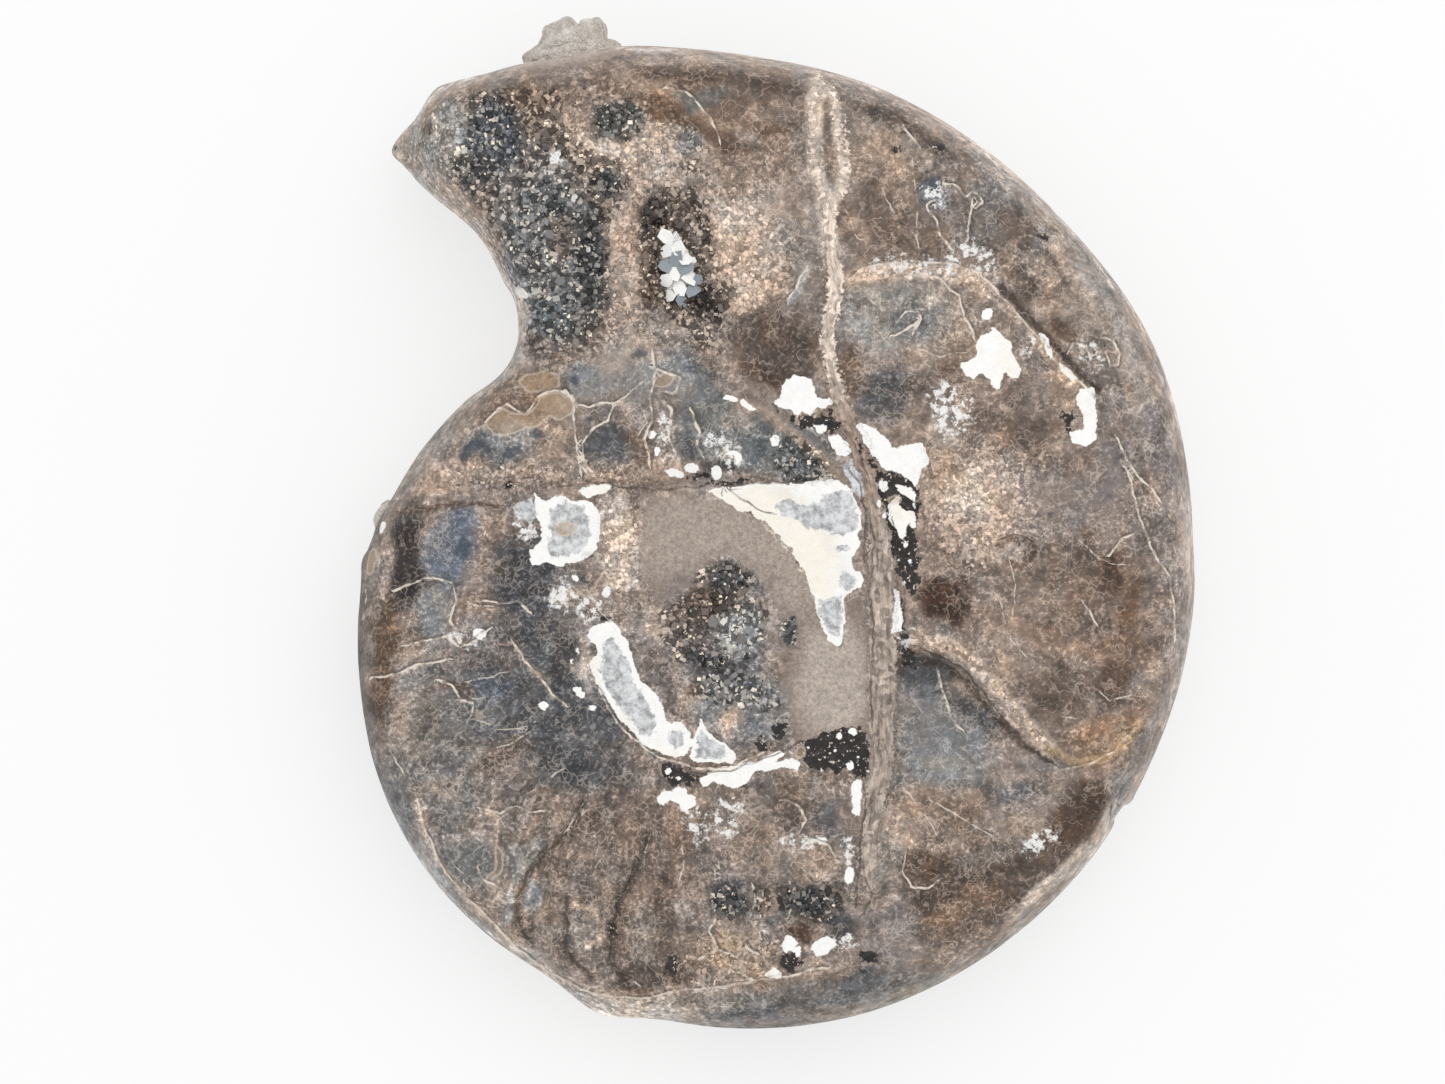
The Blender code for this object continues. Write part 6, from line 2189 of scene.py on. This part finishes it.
        height = bench.times(small["Fine"], 0.2)
        for weight, amount in (
            (bench.times(grain["Body"], mask[Layer.GRANULAR]), 0.6),
            (bench.times(grain["Body"], mask[Layer.DRUSE]), 0.9), (bench.times(fibres, vein), 1.4),
            (crack, -0.9),
        ):
            height = bench.plus(weight, amount, height)
        bump = bench.add("Bump", {"Height": height, "Distance": self.bump_depth, "Strength": 0.8})
        bench.feed(shader.inputs["Normal"], bump.outputs["Normal"])
        shader.inputs["Specular IOR Level"].default_value = self.specular
        return material


@dataclass(frozen=True)
class SandyFinish:
    """Rough sandy matrix."""

    grain_size: float = 0.45
    roughness: float = 0.82
    bump_depth: float = 0.00018

    def material(self, effects: Effects) -> Material:
        """The finish as a material."""
        material, bench, shader = new_material("sandy_matrix")
        place = bench.place()
        small = effects.mottle.place_in(bench, {"Place": place, "Size": 1.1})
        grain = effects.grains.place_in(bench, {"Place": place, "Size": self.grain_size})
        tone = bench.plus(small["Broad"], 0.1, 1.0)
        tone = bench.plus(small["Fine"], 0.1, tone)
        tone = bench.times(tone, bench.spread(grain["Tone"], 0.86, 1.12))
        bench.feed(shader.inputs["Base Color"], bench.scaled(bench.attribute("tint", "Color"), tone))
        rough = bench.plus(small["Broad"], 0.05, self.roughness)
        bench.feed(shader.inputs["Roughness"], rough)
        height = bench.plus(grain["Body"], 0.7, bench.times(small["Fine"], 0.4))
        bump = bench.add("Bump", {"Height": height, "Distance": self.bump_depth, "Strength": 0.9})
        bench.feed(shader.inputs["Normal"], bump.outputs["Normal"])
        shader.inputs["Specular IOR Level"].default_value = 0.25
        return material


@dataclass(frozen=True)
class CrystalFinish:
    """Glossy crystal faces."""

    name: str
    roughness: float
    cloud_size: float
    cloud_depth: float

    def material(self, effects: Effects) -> Material:
        """The finish as a material."""
        material, bench, shader = new_material(self.name)
        place = bench.place()
        cloud = effects.mottle.place_in(bench, {"Place": place, "Size": self.cloud_size})
        tone = bench.plus(cloud["Broad"], self.cloud_depth, 1.0)
        tone = bench.plus(cloud["Fine"], self.cloud_depth, tone)
        bench.feed(shader.inputs["Base Color"], bench.scaled(bench.attribute("tint", "Color"), tone))
        rough = bench.plus(cloud["Fine"], 0.06, self.roughness)
        bench.feed(shader.inputs["Roughness"], rough)
        bump = bench.add("Bump", {"Height": cloud["Fine"], "Distance": 0.00003, "Strength": 0.5})
        bench.feed(shader.inputs["Normal"], bump.outputs["Normal"])
        shader.inputs["Specular IOR Level"].default_value = 0.5
        return material


@dataclass(frozen=True)
class Studio:
    """A plain white floor, soft light from above and the camera that looks straight down."""

    floor_half: float = 1.6
    floor_tone: float = 0.3
    # The floor's glow is painted light: it keeps the grey floor white and makes the fossil's shadow on it
    # faint.
    floor_glow: float = 0.65
    sky_strength: float = 0.88
    key_power: float = 3.8
    key_size: float = 1.0
    key_place: tuple[float, float, float] = (0.22, 0.45, 0.95)

    def floor(self) -> None:
        """The floor that the fossil lies on, grey and glowing with painted light."""
        half = self.floor_half
        edge = [(-half, -half, 0), (half, -half, 0), (half, half, 0), (-half, half, 0)]
        mesh = bpy.data.meshes.new("floor")
        mesh.from_pydata(edge, [], [(0, 1, 2, 3)])
        material, _, shader = new_material("white_floor")
        shader.inputs["Base Color"].default_value = (self.floor_tone, self.floor_tone, self.floor_tone, 1.0)
        shader.inputs["Roughness"].default_value = 0.9
        shader.inputs["Specular IOR Level"].default_value = 0.0
        shader.inputs["Emission Color"].default_value = (1.0, 1.0, 1.0, 1.0)
        shader.inputs["Emission Strength"].default_value = self.floor_glow
        mesh.materials.append(material)
        floor = bpy.data.objects.new("floor", mesh)
        bpy.context.scene.collection.objects.link(floor)

    def lights(self) -> None:
        """An even white sky and one large soft lamp."""
        world = bpy.data.worlds.new("white_sky")
        world.use_nodes = True
        sky = world.node_tree.nodes["Background"]
        sky.inputs["Color"].default_value = (1.0, 1.0, 1.0, 1.0)
        sky.inputs["Strength"].default_value = self.sky_strength
        bpy.context.scene.world = world
        lamp = bpy.data.lights.new("key", "AREA")
        lamp.shape, lamp.size, lamp.energy = "DISK", self.key_size, self.key_power
        key = bpy.data.objects.new("key", lamp)
        key.location = self.key_place
        key.rotation_euler = (-Vector(self.key_place)).to_track_quat("-Z", "Y").to_euler()
        bpy.context.scene.collection.objects.link(key)

    def camera(self) -> None:
        """The camera above the fossil."""
        lens = bpy.data.cameras.new("camera")
        lens.lens, lens.sensor_width = VIEW.lens, VIEW.sensor
        camera = bpy.data.objects.new("camera", lens)
        camera.location = (VIEW.centre[0] * MM, VIEW.centre[1] * MM, (VIEW.distance + VIEW.level) * MM)
        bpy.context.scene.collection.objects.link(camera)
        bpy.context.scene.camera = camera

    def build(self) -> None:
        """The whole studio."""
        self.floor()
        self.lights()
        self.camera()
        bpy.context.scene.view_settings.view_transform = "Standard"


def main() -> None:
    """Builds the studio and the fossil."""
    logging.basicConfig(level=logging.INFO, format="%(name)s: %(message)s")
    Studio().build()
    effects = Effects(ragged_mask(), mottle(), grains(), flakes(), hairlines())
    coil = Coil()
    face, back = FaceRelief(coil), BackRelief(coil)
    FossilSurface(coil, face, back).build(PolishedStone().material(effects))
    MatrixLumps().build(SandyFinish().material(effects))
    DrusyCrystals(coil, face).build(CrystalFinish("drusy_crystal", 0.3, 0.8, 0.1).material(effects))
    CalcitePrisms().build(CrystalFinish("clear_calcite", 0.28, 1.2, 0.05).material(effects))
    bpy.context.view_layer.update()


if __name__ == "__main__":
    main()
